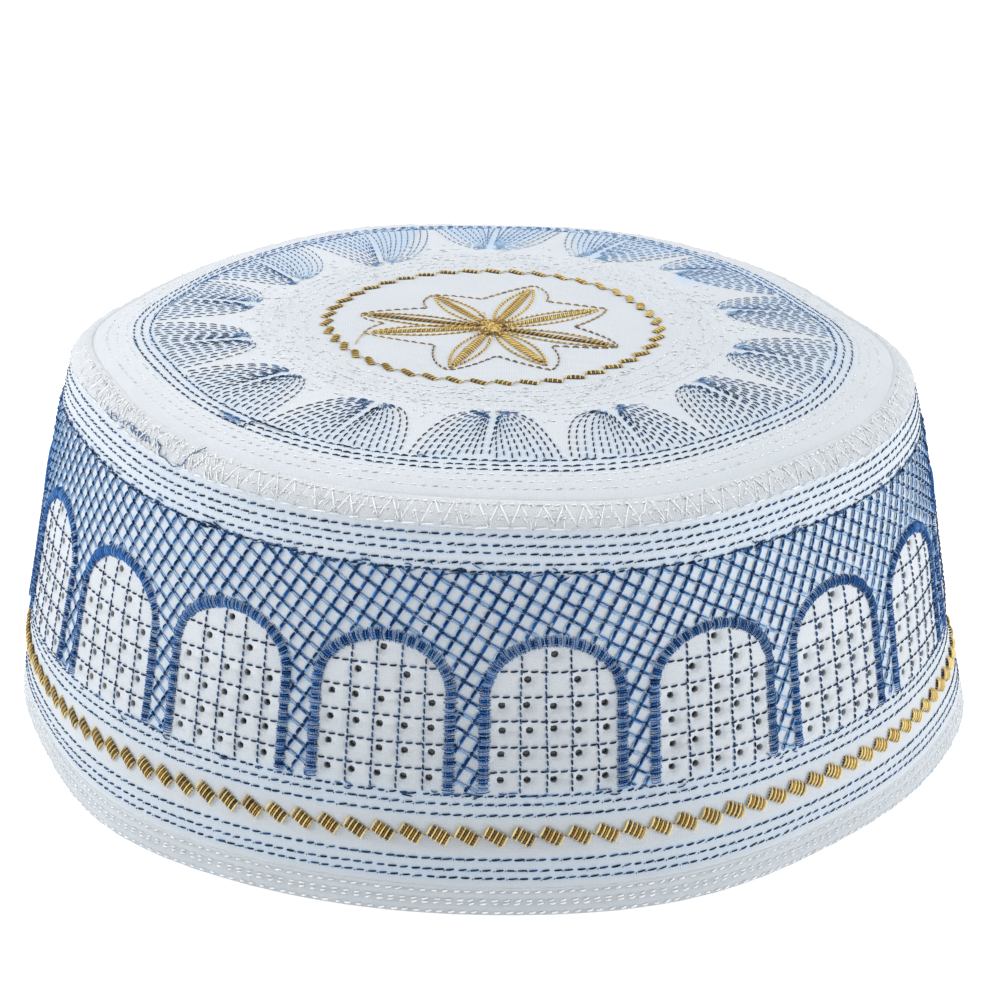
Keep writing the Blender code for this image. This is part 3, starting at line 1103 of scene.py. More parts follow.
    def tint(self, azimuth: Array, run: Array) -> Array:
        """How much blue shines off the thread on the cloth.

        Args:
            azimuth: degrees from +X.
            run: millimetres along the profile.

        Returns:
            A share from 0 to 1.
        """
        lean = np.abs(self.from_fan(azimuth))
        reach = 13.0 * np.sqrt(np.clip((run - self.run_fan_tip) / 19.0, 0, 1))
        fan = smooth_step(-0.5, 2.0, reach - lean) * smooth_step(45, 47, run)
        fan = fan * (1 - smooth_step(64.5, 65.5, run))
        rows = smooth_step(63.2, 64.5, run) * (1 - smooth_step(67.5, 68.4, run))
        behind = 0.30 + 0.42 * light_side(azimuth, 80.0) ** 3
        return np.clip((0.75 * fan + 0.45 * rows) * behind, 0, 1)

    def dim(self, azimuth: Array, run: Array) -> Array:
        """Painted shade on the cloth: greyer in the middle, on the right and at the front edge.

        Args:
            azimuth: degrees from +X.
            run: millimetres along the profile.

        Returns:
            The share of the shaded cloth's colour.
        """
        grey = 0.34 - 0.14 * smooth_step(38, 48, run) - 0.06 * smooth_step(48, 66, run)
        grey = grey + 0.18 * np.cos(np.radians(azimuth)) * smooth_step(20, 60, run)
        return grey + 0.16 * facing(azimuth) * smooth_step(66, 76, run)

    def _cloth(self) -> None:
        """The top's cloth: a fine outer face and a plain inner one, closed at the edge."""
        shape = cap_shape()
        rims = []
        for segments, inner in ((self.outer_steps, False), (self.inner_steps, True)):
            made = bmesh.ops.create_grid(shape, x_segments=segments, y_segments=segments, size=1.0)
            verts = made["verts"]
            rims.append({edge for vert in verts for edge in vert.link_edges if edge.is_boundary})
            flat = np.array([tuple(vert.co) for vert in verts])
            x, y = flat[:, 0], flat[:, 1]
            disc_x = x * np.sqrt(1 - y**2 / 2)
            disc_y = y * np.sqrt(1 - x**2 / 2)
            azimuth = np.degrees(np.arctan2(disc_y, disc_x))
            share = np.clip(np.hypot(disc_x, disc_y), 0, 1)
            run = share * (RUN_SEAM - 0.2)
            tuck = smooth_step(RUN_TAPE_TOP + 0.3, RUN_TAPE_TOP + 1.0, run)
            offset = self.relief(azimuth, run) * (1 - tuck) - tuck * 0.8
            offset = -WALL - 0.3 + 0 * run if inner else offset
            settle(shape, verts, azimuth, run, offset)
        bmesh.ops.bridge_loops(shape, edges=list(rims[0] | rims[1]))
        bmesh.ops.recalc_face_normals(shape, faces=shape.faces)
        mesh = bpy.data.meshes.new("crown_cloth")
        shape.to_mesh(mesh)
        shape.free()
        mesh.shade_smooth()
        dress_cloth(mesh, self.tint, self.dim, flat=True)
        cloth = add_mesh_object("crown_cloth", mesh)
        dress(cloth, self.finishes.cloth, "white_cloth", ("crown_top",))

    def thread_shade(self, azimuth: Array) -> Array:
        """Shade of the blue thread: dark in front, pale where it turns to the light behind."""
        return 0.03 + 0.57 * light_side(azimuth, 85.0) ** 1.3

    def _fans(self) -> None:
        """The fourteen fans of curved stitched lines."""
        lines = StitchField("fan_stitches", width=0.36, height=0.22, rise=0.10, ground=self.relief)
        dice = np.random.default_rng(11)
        for number, fan in enumerate(self.fans):
            for hand in (-1, 1):
                for line in range(self.lines_per_half):
                    share = (line + 0.5) / self.lines_per_half
                    self._fan_line(lines, dice, number, hand, share)
            self._clusters(lines, dice, fan)
        self.finishes.sew(lines, Thread.NAVY)

    def _fan_line(self, lines: StitchField, dice: Dice, number: int, hand: int, share: float) -> None:
        """One curved line of a fan, from its cluster to the foot row.

        Args:
            lines: takes the stitches.
            dice: gives the small unevenness.
            number: the fan's place in the table.
            hand: -1 or 1 for the half of the fan.
            share: the line's place in its half, from 0 at the middle to 1 at the edge.
        """
        fan, pitch = self.fans[number], 360.0 / len(self.fans)
        middle = FRONT + number * pitch
        reach = share * pitch / 2 * 0.985
        tip_run = fan.tip - 0.3 + 2.8 * (1 - share) ** 1.3 + dice.normal(0, 0.15)
        start = (float(FORM.degrees(self.cluster * (0.35 + 0.75 * share), 46.0)), tip_run)
        bend = (
            start[0] + (reach - start[0]) * (0.22 + 0.70 * share),
            tip_run + (1 - share) * 8.0 - share * 0.6,
        )
        end = (reach, self.run_fan_foot - 0.3)
        curve = bezier(np.array([start, bend, end]), 24)
        way = np.linspace(0, 1, 24)
        wander = np.interp(way, np.linspace(0, 1, 6), dice.normal(0, 0.05, 6))
        drift = FORM.degrees(0.25 - 1.05 * way + wander, curve[:, 1])
        drift = drift + turn_gap(fan.azimuth, middle) * (1 - way) ** 1.4
        azimuth = middle + hand * curve[:, 0] + drift
        first, last = path_stitches(azimuth, curve[:, 1], self.fan_stitch, dice.uniform(0.2, 1.0))
        first, last = slanted(first, last, 0.07)
        low = (first[1] - fan.tip) / (self.run_fan_foot - fan.tip)
        near = np.clip(1 - low * 2.6, 0, 1)
        # Painted sheen: lines are paler near the cluster, less so on the half of a side fan that faces the
        # front.
        pale = (0.55 if hand * np.cos(np.radians(middle)) >= -0.1 else 0.15) * near
        shade = self.thread_shade(first[0]) + pale * dice.uniform(0.2, 1.2, len(low))
        shade = np.clip(shade + dice.normal(0, 0.08, len(low)), 0, 1)
        front = facing(middle)
        lines.add(first, last, shade, width=0.78 + 0.22 * front - 0.1 * near, lift=0.08)

    def _clusters(self, lines: StitchField, dice: Dice, fan: FanRow) -> None:
        """The tangle of pale stitches where the lines of a fan meet.

        Args:
            lines: takes the stitches.
            dice: gives the small unevenness.
            fan: the fan's row.
        """
        for hand in (-1, 1):
            count = self.cluster_stitches
            turn = dice.uniform(0.1, 1.15, count)
            size = dice.uniform(0.4, 1.0, count)
            x = 0.25 + hand * (self.cluster * 0.9 + dice.normal(0.2, 0.5, count))
            y = fan.tip + 0.5 + dice.uniform(-0.7, 1.3, count)
            lean, rise = hand * size * np.sin(turn), size * np.cos(turn) * 0.7
            start = (fan.azimuth + FORM.degrees(x - lean, y), y - rise)
            end = (fan.azimuth + FORM.degrees(x + lean, y), y + rise)
            shade = np.clip(self.thread_shade(start[0]) + dice.uniform(0.25, 0.8, count), 0, 1)
            lines.add(start, end, shade, width=0.5, lift=0.10)

    def _rows(self) -> None:
        """Rows of running stitches round the top, and the loose white seeds."""
        dice = np.random.default_rng(12)
        blue = StitchField("crown_blue_rows", width=0.40, height=0.24, rise=0.12, ground=self.relief)
        dots = StitchField("crown_blue_dots", width=0.34, height=0.22, rise=0.08, rings=2, ground=self.relief)
        for row in self.blue_rows:
            add_row(row, blue, dots, self.thread_shade, dice)
        count = self.frayed_stitches
        extra = dice.uniform(0, 360, count)
        level = self.blue_rows[0].run + dice.normal(0.1, 0.3, count)
        side = FORM.degrees(dice.uniform(0.4, 0.9, count), level)
        tone = np.clip(self.thread_shade(extra) + dice.uniform(0.1, 0.4, count), 0, 1)
        start = (extra - side, level + dice.normal(0, 0.2, count))
        blue.add(start, (extra + side, level), tone, width=0.6, lift=0.10)
        count = self.join_stitches
        join = self.join.azimuth + dice.uniform(0, 5.4, count)
        level = self.join.run + dice.uniform(-0.8, 0.8, count)
        start, end = (join - 0.5, level + 0.2), (join + 0.5, level - 0.2)
        blue.add(start, end, dice.uniform(0.5, 0.95, count), width=0.7, lift=0.14)
        blue.add_path(self.join_loop, 0.05, lift=0.18)
        self.finishes.sew(blue, Thread.NAVY)
        self.finishes.sew(dots, Thread.NAVY)
        white = StitchField("crown_white_rows", width=0.32, height=0.24, rise=0.08, ground=self.relief)
        for row in self.white_rows:
            start, end = ring_stitches(row, dice)
            hidden = smooth_step(0.3, 0.8, np.sin(np.radians(start[0]))) * smooth_step(66, 69, row.run)
            tone = np.clip(0.55 + dice.normal(0, 0.3, len(start[0])), 0, 1)
            white.add(start, end, tone, lift=0.06 - 0.16 * hidden)
        azimuth = dice.uniform(0, 360, self.seeds)
        run = np.sqrt(dice.uniform(34.0**2, 50.0**2, self.seeds))
        keep = self.tint(azimuth, run) < 0.05
        azimuth, run = azimuth[keep], run[keep]
        turn = dice.uniform(-math.pi, math.pi, len(run))
        size = dice.uniform(0.25, 0.6, len(run))
        side = FORM.degrees(size * np.cos(turn), run)
        white.add(
            (azimuth - side, run - size * np.sin(turn)),
            (azimuth + side, run + size * np.sin(turn)),
            dice.uniform(0.3, 1.0, len(run)),
            width=1.2,
            lift=0.08,
        )
        self.finishes.sew(white, Thread.WHITE)

    def _gold_ring(self) -> None:
        """The ring of satin blocks round the flower."""
        block = SatinBlock(length=3.9, width=1.35, bars=9, thread=0.36, height=0.30, rise=0.20, lift=0.10)
        ring = satin_blocks("crown_gold_satin", self.ring_blocks, self.run_ring, block, 13)
        self.finishes.sew(ring, Thread.GOLD, "crown_gold_ring")

    def _polar(self, x: Array, y: Array) -> Ends:
        """Azimuth and run of a flat place, given from the flower's middle."""
        return np.degrees(np.arctan2(y + FLOWER_MIDDLE_Y, x)), np.hypot(x, y + FLOWER_MIDDLE_Y)

    def _across(self, x: Array, y: Array, angle: Array, size: Array) -> Stitches:
        """Straight stitches round places given from the flower's middle.

        Args:
            x: millimetres to the right.
            y: millimetres to the back.
            angle: their direction, in radians.
            size: half their length, in millimetres.

        Returns:
            The start and the end of each stitch, as azimuth and run.
        """
        dx, dy = size * np.cos(angle), size * np.sin(angle)
        start, end = self._polar(x - dx, y - dy), self._polar(x + dx, y + dy)
        return start, (start[0] + turn_gap(end[0], start[0]), end[1])

    def _flower(self) -> None:
        """Eight petals: a satin vein, two inner outlines and an outer contour each."""
        dice = np.random.default_rng(14)
        satin = StitchField("flower_satin", width=0.40, height=0.30, rise=0.24, sink=0.10, rings=4)
        lines = StitchField("flower_outlines", width=0.44, height=0.30, rise=0.14)
        count = len(self.petals)
        for index, petal in enumerate(self.petals):
            self._vein(satin, petal, dice)
            self._inner_outline(satin, petal, dice)
            self._contour(lines, petal, self.valleys[index], -petal.right, dice)
            self._contour(lines, petal, self.valleys[(index - 1) % count], petal.left, dice)
        angle, size = dice.uniform(0, math.pi, self.knots), dice.uniform(0.5, 1.1, self.knots)
        x, y = dice.normal(0, 1.35, self.knots), dice.normal(0, 2.0, self.knots)
        start, end = self._across(x, y, angle, size)
        satin.add(start, end, dice.uniform(0.1, 1.0, self.knots), lift=0.45)
        lines.add_path(self.gold_end, 0.6, width=0.6, lift=0.15)
        self.finishes.sew(satin, Thread.GOLD, "flower")
        self.finishes.sew(lines, Thread.GOLD)

    def _place(self, petal: PetalRow, along: Array, across: Array) -> tuple[Array, Array]:
        """Turns places on a petal into places from the flower's middle.

        Args:
            petal: the petal's row.
            along: millimetres along it.
            across: millimetres to its left.

        Returns:
            The places' x and y.
        """
        angle = math.radians(petal.azimuth)
        x = along * math.cos(angle) - across * math.sin(angle)
        y = along * math.sin(angle) + across * math.cos(angle)
        return x, y

    def _vein(self, satin: StitchField, petal: PetalRow, dice: Dice) -> None:
        """The slanted satin bars of a petal's middle, alternately lighter and darker, over a dark ground of
        painted shade.

        Args:
            satin: takes the stitches.
            petal: the petal's row.
            dice: gives the small unevenness.
        """
        along = np.arange(2.4, petal.reach * 0.93, self.vein_pitch)
        share = np.clip((along - 2.0) / (petal.reach - 2.0), 0, 1)
        half = 1.05 * petal.fullness * np.sin(share * math.pi) ** 0.7 + 0.15
        x, y = self._place(petal, along, 0.0)
        angle = math.radians(petal.azimuth + 62.0) + dice.normal(0, 0.05, len(along))
        start, end = self._across(x, y, angle, half * 1.1)
        # Every second bar is darker, and a near-black ground lies beneath: painted shade in the gaps between
        # the bars.
        tone = petal.shade + np.where(np.arange(len(along)) % 2 == 0, 0.38, -0.20)
        satin.add(start, end, np.clip(tone + dice.normal(0, 0.10, len(along)), 0.0, 1), lift=0.16)
        start, end = self._across(x, y, math.radians(petal.azimuth) + 0 * x, 0.5)
        satin.add(start, end, 0.05, width=np.minimum(half * 3.0, 3.4), lift=-0.14)

    def _inner_outline(self, satin: StitchField, petal: PetalRow, dice: Dice) -> None:
        """The two rope-like, lens-shaped outlines beside the vein.

        Args:
            satin: takes the stitches.
            petal: the petal's row.
            dice: gives the small unevenness.
        """
        share = np.linspace(0.06, 0.99, 60)
        along = 1.5 + share * (petal.reach - 1.5)
        spread = 2.55 * np.sin(share * math.pi) ** 0.8
        for hand in (-1, 1):
            x, y = self._place(petal, along, hand * spread)
            way = np.concatenate([[0.0], np.cumsum(np.hypot(np.diff(x), np.diff(y)))])
            place = np.arange(0.3, way[-1], self.outline_pitch)
            at_x, at_y = np.interp(place, way, x), np.interp(place, way, y)
            ahead = np.arctan2(np.interp(place + 0.2, way, y) - at_y, np.interp(place + 0.2, way, x) - at_x)
            start, end = self._across(at_x, at_y, ahead + 0.55, 0.46)
            tone = 0.50 + 0.35 * petal.shade + np.where(np.arange(len(place)) % 2 == 0, -0.30, 0.28)
            tone = np.clip(tone + dice.normal(0, 0.10, len(place)), 0, 1)
            satin.add(start, end, tone, width=1.05, lift=0.02)

    def _contour(
        self, lines: StitchField, petal: PetalRow, valley: ValleyRow, spread: float, dice: Dice
    ) -> None:
        """Half of the outer contour, from the valley beside a petal to its tip.

        Args:
            lines: takes the stitches.
            petal: the petal's row.
            valley: where the contour starts.
            spread: how far it bulges to the petal's left, in millimetres.
            dice: gives the small unevenness.
        """
        gap = math.radians(float(turn_gap(valley.azimuth, petal.azimuth)))
        start = np.array([valley.reach * math.cos(gap), valley.reach * math.sin(gap)])
        end = np.array([petal.tip, 0.0])
        bend = np.array([petal.reach * 0.97, spread])
        curve = bezier(np.array([start, bend, end]), 40)
        azimuth, run = self._polar(*self._place(petal, curve[:, 0], curve[:, 1]))
        steady = np.degrees(np.unwrap(np.radians(azimuth)))
        first, last = path_stitches(steady, run, self.contour_stitch)
        first, last = slanted(first, last, 0.10)
        dark = 0.10 if 220 < petal.azimuth or petal.azimuth < 30 else 0.34
        lines.add(first, last, np.clip(dark + dice.normal(0, 0.08, len(first[0])), 0, 1), lift=0.05)


@dataclass(frozen=True)
class SatinBlock:
    """One slanted block of satin stitches."""

    length: float = 4.1
    width: float = 2.4
    tilt: float = math.radians(28.0)
    bars: int = 9
    thread: float = 0.42
    height: float = 0.46
    rise: float = 0.38
    lift: float = 0.18
    # Near-black padding rows under the bars: painted shade in the gaps between them.
    shade_padding: tuple[float, ...] = (-0.34, -0.11, 0.11, 0.34)


def satin_blocks(name: str, blocks: int, run: float, block: SatinBlock, seed: int) -> StitchField:
    """A ring of slanted satin blocks that meet corner to corner.

    Args:
        name: the piece's name.
        blocks: how many blocks go round.
        run: where the ring's middle lies.
        block: the size of one block.
        seed: for the small unevenness.

    Returns:
        Their stitches.
    """
    dice = np.random.default_rng(seed)
    satin = StitchField(name, width=block.thread, height=block.height, rise=block.rise, rings=5, fullness=0.5)
    pitch = 360.0 / blocks
    place = (np.arange(block.bars) + 0.5) / block.bars - 0.5
    cosine, sine = math.cos(block.tilt), math.sin(block.tilt)
    for number in range(blocks):
        middle = FRONT + (number + 0.5) * pitch
        along = place * block.length
        jitter = dice.normal(0, 0.06, (2, block.bars))
        half = (block.width / 2 + 0.14) * (1 - 0.14 * np.abs(2 * place) ** 5) + jitter[0]
        centre_x, centre_y = along * cosine, along * sine + jitter[1] * 0.5
        start = (middle + FORM.degrees(centre_x + sine * half, run), run + centre_y - cosine * half)
        end = (middle + FORM.degrees(centre_x - sine * half, run), run + centre_y + cosine * half)
        # Every second bar is darker and thinner, over near-black padding: painted shade in the gaps between
        # the bars.
        even = np.arange(block.bars) % 2 == 0
        tone = np.where(even, 0.90, 0.20) + dice.normal(0, 0.12, block.bars)
        satin.add(start, end, np.clip(tone, 0.0, 1.0), width=np.where(even, 1.0, 0.75), lift=block.lift)
        for level in block.shade_padding:
            side = level * block.width
            reach = block.length * 0.47
            first = (-reach * cosine + side * sine, -reach * sine - side * cosine)
            last = (reach * cosine + side * sine, reach * sine - side * cosine)
            under = [(middle + float(FORM.degrees(x, run)), run + y) for x, y in (first, last)]
            satin.add(under[0], under[1], 0.0, width=1.3, lift=block.lift - 0.45 * block.height - 0.12)
        corner_x = (block.length * cosine + block.width * sine) / 2
        corner_y = (block.length * sine - block.width * cosine) / 2
        reach = FORM.degrees(corner_x - 0.2, run)
        start, end = (middle + reach, run + corner_y), (middle + pitch - reach, run - corner_y)
        satin.add(start, end, 0.2, width=0.6)
    return satin


def dress_cloth(mesh: bpy.types.Mesh, tint: Spread, dim: Spread, flat: bool = False) -> None:
    """Gives a cloth mesh its painted blue light (tint), its painted shade and its weave map.

    Args:
        mesh: a mesh whose points were settled on the cap.
        tint: gives the blue tint at an azimuth and a run.
        dim: gives the painted shade there, how grey the cloth looks.
        flat: whether the weave lies flat over the top instead of round the cap.
    """
    azimuth, run = (np.empty(len(mesh.vertices), np.float32) for _ in range(2))
    mesh.attributes["azimuth"].data.foreach_get("value", azimuth)
    mesh.attributes["run"].data.foreach_get("value", run)
    set_number(mesh, "tint", tint(azimuth, run))
    set_number(mesh, "dim", dim(azimuth, run))
    corners = face_corners(mesh)
    turn, level = azimuth[corners], run[corners]
    if flat:
        angle = np.radians(turn)
        set_map(mesh, "weave", np.stack([level * np.cos(angle), level * np.sin(angle)], axis=1))
        return
    starts, sizes = (np.empty(len(mesh.polygons), np.int32) for _ in range(2))
    mesh.polygons.foreach_get("loop_start", starts)
    mesh.polygons.foreach_get("loop_total", sizes)
    near = np.repeat(turn[starts], sizes)
    set_map(mesh, "weave", np.stack([np.radians(near + turn_gap(turn, near)) * WEAVE_RADIUS, level], axis=1))


def slanted(first: Ends, last: Ends, slant: float) -> Stitches:
    """Turns stitches a little off the line that they follow.

    Args:
        first: azimuth and run of each stitch's first end.
        last: azimuth and run of its other end.
        slant: how far each end leaves the line, in millimetres.

    Returns:
        Both ends after the turn.
    """
    level = (first[1] + last[1]) / 2
    x = np.radians(last[0] - first[0]) * FORM.radius(level)
    y = last[1] - first[1]
    size = np.maximum(np.hypot(x, y), 1e-6)
    side, rise = FORM.degrees(-y / size * slant, level), x / size * slant
    return (first[0] - side, first[1] - rise), (last[0] + side, last[1] + rise)


@dataclass
class SideBand:
    """The tapering wall with its arches, lattice, rows and gold chain."""

    finishes: Finishes
    columns: int = 432
    blue_rows: tuple[ThreadRow, ...] = (
        ThreadRow(82.3, 2.0, 1.5, 0.05),
        ThreadRow(83.9, 2.0, 1.5, 0.05),
        ThreadRow(85.3, 2.0, 1.5, 0.05),
        ThreadRow(87.0, 2.0, 1.5, 0.05),
        ThreadRow(RUN_LATTICE_TOP, 1.6, 1.3, 0.10),
        ThreadRow(RUN_BASE_ROW, 1.9, 1.35, 0.05),
        ThreadRow(129.35, 2.05, 1.6, 0.05),
        ThreadRow(131.2, 2.05, 1.6, 0.05),
        ThreadRow(139.0, 2.05, 1.68, 0.05),
        ThreadRow(140.85, 2.05, 1.68, 0.05),
        ThreadRow(142.25, 2.05, 1.68, 0.05),
    )
    chain_blocks: int = 115
    run_chain: float = 134.9
    shallow: LineSet = LineSet(
        Slant.SHALLOW,
        100,
        math.sqrt(3.0),
        (
            Strand(0.92, -0.26, 0.0, 1.0, 0.72, 0.06, 1.0),
            Strand(0.62, 0.22, 0.0, 1.0, 0.72, 0.06, 1.0),
            Strand(0.06, 0.0, 0.15, 0.85, 0.50, 0.12, 0.55),
            Strand(0.03, 0.04, -0.22, 0.22, 1.20, 0.14, 0.95),
        ),
    )
    steep: LineSet = LineSet(
        Slant.STEEP,
        174,
        -1 / math.sqrt(3.0),
        (
            Strand(0.52, 0.24, 0.04, 0.96, 0.80, 0.14, 1.0),
            Strand(0.90, -0.28, 0.06, 0.94, 0.55, 0.12, 0.8),
            Strand(0.02, -0.04, 0.10, 0.72, 1.02, 0.22, 1.0),
        ),
    )
    vent_radius: float = 0.68
    grid_uprights: tuple[float, ...] = (-1.28, -0.28, 0.72, 1.72)
    grid_levels: int = 5
    upright_stitch: Stitch = Stitch(1.25, 1.08)
    level_stitch: Stitch = Stitch(1.78, 1.42)
    cord_pitch: float = 0.41
    # Near-black padding rows under the cord's bars: painted shade in the gaps between them.
    cord_shade_padding: tuple[float, ...] = (-0.66, -0.22, 0.22, 0.66)

    def build(self) -> None:
        """Builds every piece of the side band."""
        self._cloth()
        self._rows()
        self._lattice()
        self._grids()
        for number in range(ARCH_COUNT):
            self._arch(number)
        chain = satin_blocks("gold_chain_satin", self.chain_blocks, self.run_chain, SatinBlock(), 23)
        self.finishes.sew(chain, Thread.GOLD, "gold_chain")

    def inside_arch(self, azimuth: Array, run: Array, inset: float = 0.0) -> Array:
        """Whether places lie within an arch."""
        low = np.asarray(run) < RUN_ARCH_FOOT + 0.2
        return (np.abs(from_arch(azimuth)) < arch_reach(run, inset)) & low

    def relief(self, azimuth: Array, run: Array) -> Array:
        """How far the stitched cloth stands off the plain form.

        Args:
            azimuth: degrees from +X.
            run: millimetres along the profile.

        Returns:
            Millimetres outwards.
        """
        height = 0.10 * np.sin(np.radians(azimuth) * 9 + run * 0.21) * np.sin(run * 0.13)
        for row in self.blue_rows:
            height = height - 0.18 * ridge(run, row.run, 0.45)
        panel = np.clip(1 - np.abs(from_arch(azimuth)) / np.maximum(arch_reach(run, 1.0), 0.1), 0, 1)
        panel = panel * smooth_step(101, 105, run) * (1 - smooth_step(124, 127.5, run))
        height = height + 0.35 * np.sqrt(panel)
        height = height - 0.15 * ridge(run, self.run_chain, 1.9)
        tuck = 1 - smooth_step(RUN_TAPE_FOOT - 1.8, RUN_TAPE_FOOT - 0.9, run)
        return height - 0.9 * tuck

    def tint(self, azimuth: Array, run: Array) -> Array:
        """How much blue shines off the thread on the cloth.

        Args:
            azimuth: degrees from +X.
            run: millimetres along the profile.

        Returns:
            A share from 0 to 1.
        """
        rows = np.clip(sum(ridge(run, row.run, 0.62) for row in self.blue_rows), 0, 1)
        lattice = smooth_step(87.6, 88.6, run) * (1 - smooth_step(127.0, 127.8, run))
        side = 0.4 + 0.6 * np.abs(np.cos(np.radians(azimuth))) ** 2
        lattice = lattice * (1 - self.inside_arch(azimuth, run, 0.8)) * 0.22 * side
        front = facing(azimuth)
        return np.clip((0.16 + 0.30 * front) * rows + lattice, 0, 1)

    def dim(self, azimuth: Array, run: Array) -> Array:
        """Painted shade on the cloth: greyer towards the rim, and most in front."""
        front = facing(azimuth) ** 2
        return 0.05 + (0.18 + 0.38 * front) * smooth_step(82, 130, run)

    def _run_lines(self) -> Array:
        """Runs of the cloth's grid, closer where rows of stitches lie.

        Returns:
            The runs, from the seam down to the hem.
        """
        dense_top = np.linspace(RUN_SEAM + 0.2, 88.6, 14)
        middle = np.linspace(89.6, 127.0, 38)
        dense_low = np.linspace(127.8, RUN_HEM_TOP, 24)
        return np.concatenate([dense_top, middle, dense_low])

    def _cloth(self) -> None:
        """The wall's cloth with its punched vents."""
        runs = self._run_lines()
        shape = cap_shape()
        made = bmesh.ops.create_grid(shape, x_segments=self.columns, y_segments=len(runs) - 1, size=1.0)
        flat = np.array([tuple(vert.co) for vert in made["verts"]])
        azimuth = (flat[:, 0] + 1) * 180.0
        run = np.interp((1 - flat[:, 1]) / 2 * (len(runs) - 1), np.arange(len(runs)), runs)
        settle(shape, made["verts"], azimuth, run, self.relief(azimuth, run))
        bmesh.ops.remove_doubles(shape, verts=shape.verts, dist=0.00001)
        self._punch(shape)
        bmesh.ops.recalc_face_normals(shape, faces=shape.faces)
        mesh = bpy.data.meshes.new("band_cloth")
        shape.to_mesh(mesh)
        shape.free()
        self._face_outwards(mesh)
        mesh.shade_smooth()
        dress_cloth(mesh, self.tint, self.dim)
        cloth = add_mesh_object("band_cloth", mesh)
        wall = cloth.modifiers.new("wall", "SOLIDIFY")
        wall.thickness = WALL * MM
        wall.offset = -1.0
        # The solidified rim faces, which are the vents' walls, take the second material: painted shade.
        wall.material_offset_rim = 1
        dress(cloth, self.finishes.cloth, "white_cloth", ("side_band",))
        mesh.materials.append(self.finishes.vent)

    def _face_outwards(self, mesh: bpy.types.Mesh) -> None:
        """Turns the sheet over if its faces point to the axis.

        Args:
            mesh: the sheet.
        """
        face = mesh.polygons[len(mesh.polygons) // 2]
        centre = Vector(face.center)
        if face.normal.x * centre.x + face.normal.y * centre.y < 0:
            mesh.flip_normals()

    def vents(self) -> list[tuple[float, float]]:
        """Where the vents are punched.

        Returns:
            The azimuth and the run of each.
        """
        rows = [(level, (-2, -1, 0, 1, 2)) for level in range(4)]
        rows += [(4, (-1, 1)), (5, (0,))]
        places = []
        for number in range(ARCH_COUNT):
            for level, columns in rows:
                for column in columns:
                    azimuth = arch_middle(number) + (column - 0.03) * GRID_COLUMN
                    places.append((azimuth % 360.0, RUN_BASE_ROW - (level + 0.67) * GRID_ROW))
        return places

    def _punch(self, shape: bmesh.types.BMesh) -> None:
        """Opens each vent: the faces at its place go, and their rim is drawn to a circle.

        Args:
            shape: the band's cloth, which is changed.
        """
        shape.verts.ensure_lookup_table()
        tree = KDTree(len(shape.verts))
        for index, vert in enumerate(shape.verts):
            tree.insert(vert.co, index)
        tree.balance()
        dice = np.random.default_rng(29)
        doomed = []
        for azimuth, run in self.vents():
            turn = azimuth + float(FORM.degrees(dice.normal(0, 0.12), run))
            level = run + dice.normal(0, 0.12)
            offset = self.relief(np.array([turn]), np.array([level]))
            centre = Vector(FORM.point(np.array([turn]), np.array([level]), offset)[0])
            vert = shape.verts[tree.find(centre)[1]]
            out = Vector(FORM.normal(np.array([turn]), np.array([level]))[0])
            rim = {corner for face in vert.link_faces for corner in face.verts} - {vert}
            for corner in rim:
                way = corner.co - centre
                way -= out * way.dot(out)
                corner.co = centre + way.normalized() * self.vent_radius * MM - out * 0.05 * MM
            doomed.append(vert)
        bmesh.ops.delete(shape, geom=doomed, context="VERTS")

    def thread_shade(self, azimuth: Array) -> Array:
        """Painted sheen of the blue thread: dark in front, paler towards the left and behind, where it turns
        to the light.
        """
        return 0.05 + 0.42 * light_side(azimuth) ** 2

    def _rows(self) -> None:
        """Rows of blue running stitches round the band."""
        dice = np.random.default_rng(21)
        look = {"ground": self.relief, "fullness": 0.4}
        rows = StitchField("band_blue_rows", width=0.44, height=0.28, rise=0.12, **look)
        dots = StitchField("band_blue_dots", width=0.40, height=0.26, rise=0.10, rings=2, ground=self.relief)
        for row in self.blue_rows:
            add_row(row, rows, dots, self.thread_shade, dice)
        for level, count in ((RUN_LATTICE_TOP, 420), (RUN_BASE_ROW, 160)):
            azimuth = dice.uniform(0, 360, count)
            run = level + dice.normal(0, 0.38, count)
            side = FORM.degrees(dice.uniform(0.4, 1.3, count), run)
            tone = np.clip(self.thread_shade(azimuth) + dice.uniform(-0.1, 0.6, count), 0, 1)
            start = (azimuth - side, run + dice.normal(0, 0.30, count))
            bow = dice.normal(0, 0.2, count)
            rows.add(start, (azimuth + side, run), tone, width=0.7, lift=0.14, bend=bow)
        self.finishes.sew(rows, Thread.NAVY)
        self.finishes.sew(dots, Thread.NAVY)

    def _lattice(self) -> None:
        """The tilted square lattice round the arches."""
        dice = np.random.default_rng(22)
        look = {"ground": self.relief}
        shallow = StitchField("lattice_shallow", width=0.40, height=0.28, rise=0.10, rings=3, **look)
        steep = StitchField("lattice_steep", width=0.48, height=0.32, rise=0.16, fullness=0.35, **look)
        per_mm = math.degrees(1.0 / LATTICE_RADIUS)
        for thread, own, cross in ((shallow, self.shallow, self.steep), (steep, self.steep, self.shallow)):
            cross_spacing = 360.0 / cross.lines
            rate = (own.slope - cross.slope) * per_mm
            for index in range(own.lines):
                origin = index * (360.0 / own.lines)
                crossings = round(origin / cross_spacing) + np.arange(-40, 41)
                run = np.sort(RUN_LATTICE_TOP + (crossings * cross_spacing - origin) / rate)
                run = run[(run > RUN_LATTICE_TOP - 3) & (run < RUN_ARCH_FOOT + 3)]
                azimuth = origin + own.slope * per_mm * (run - RUN_LATTICE_TOP)
                self._lattice_line(thread, own, self._stretches(azimuth, run), dice)
        self.finishes.sew(shallow, Thread.BLUE)
        self.finishes.sew(steep, Thread.BLUE)

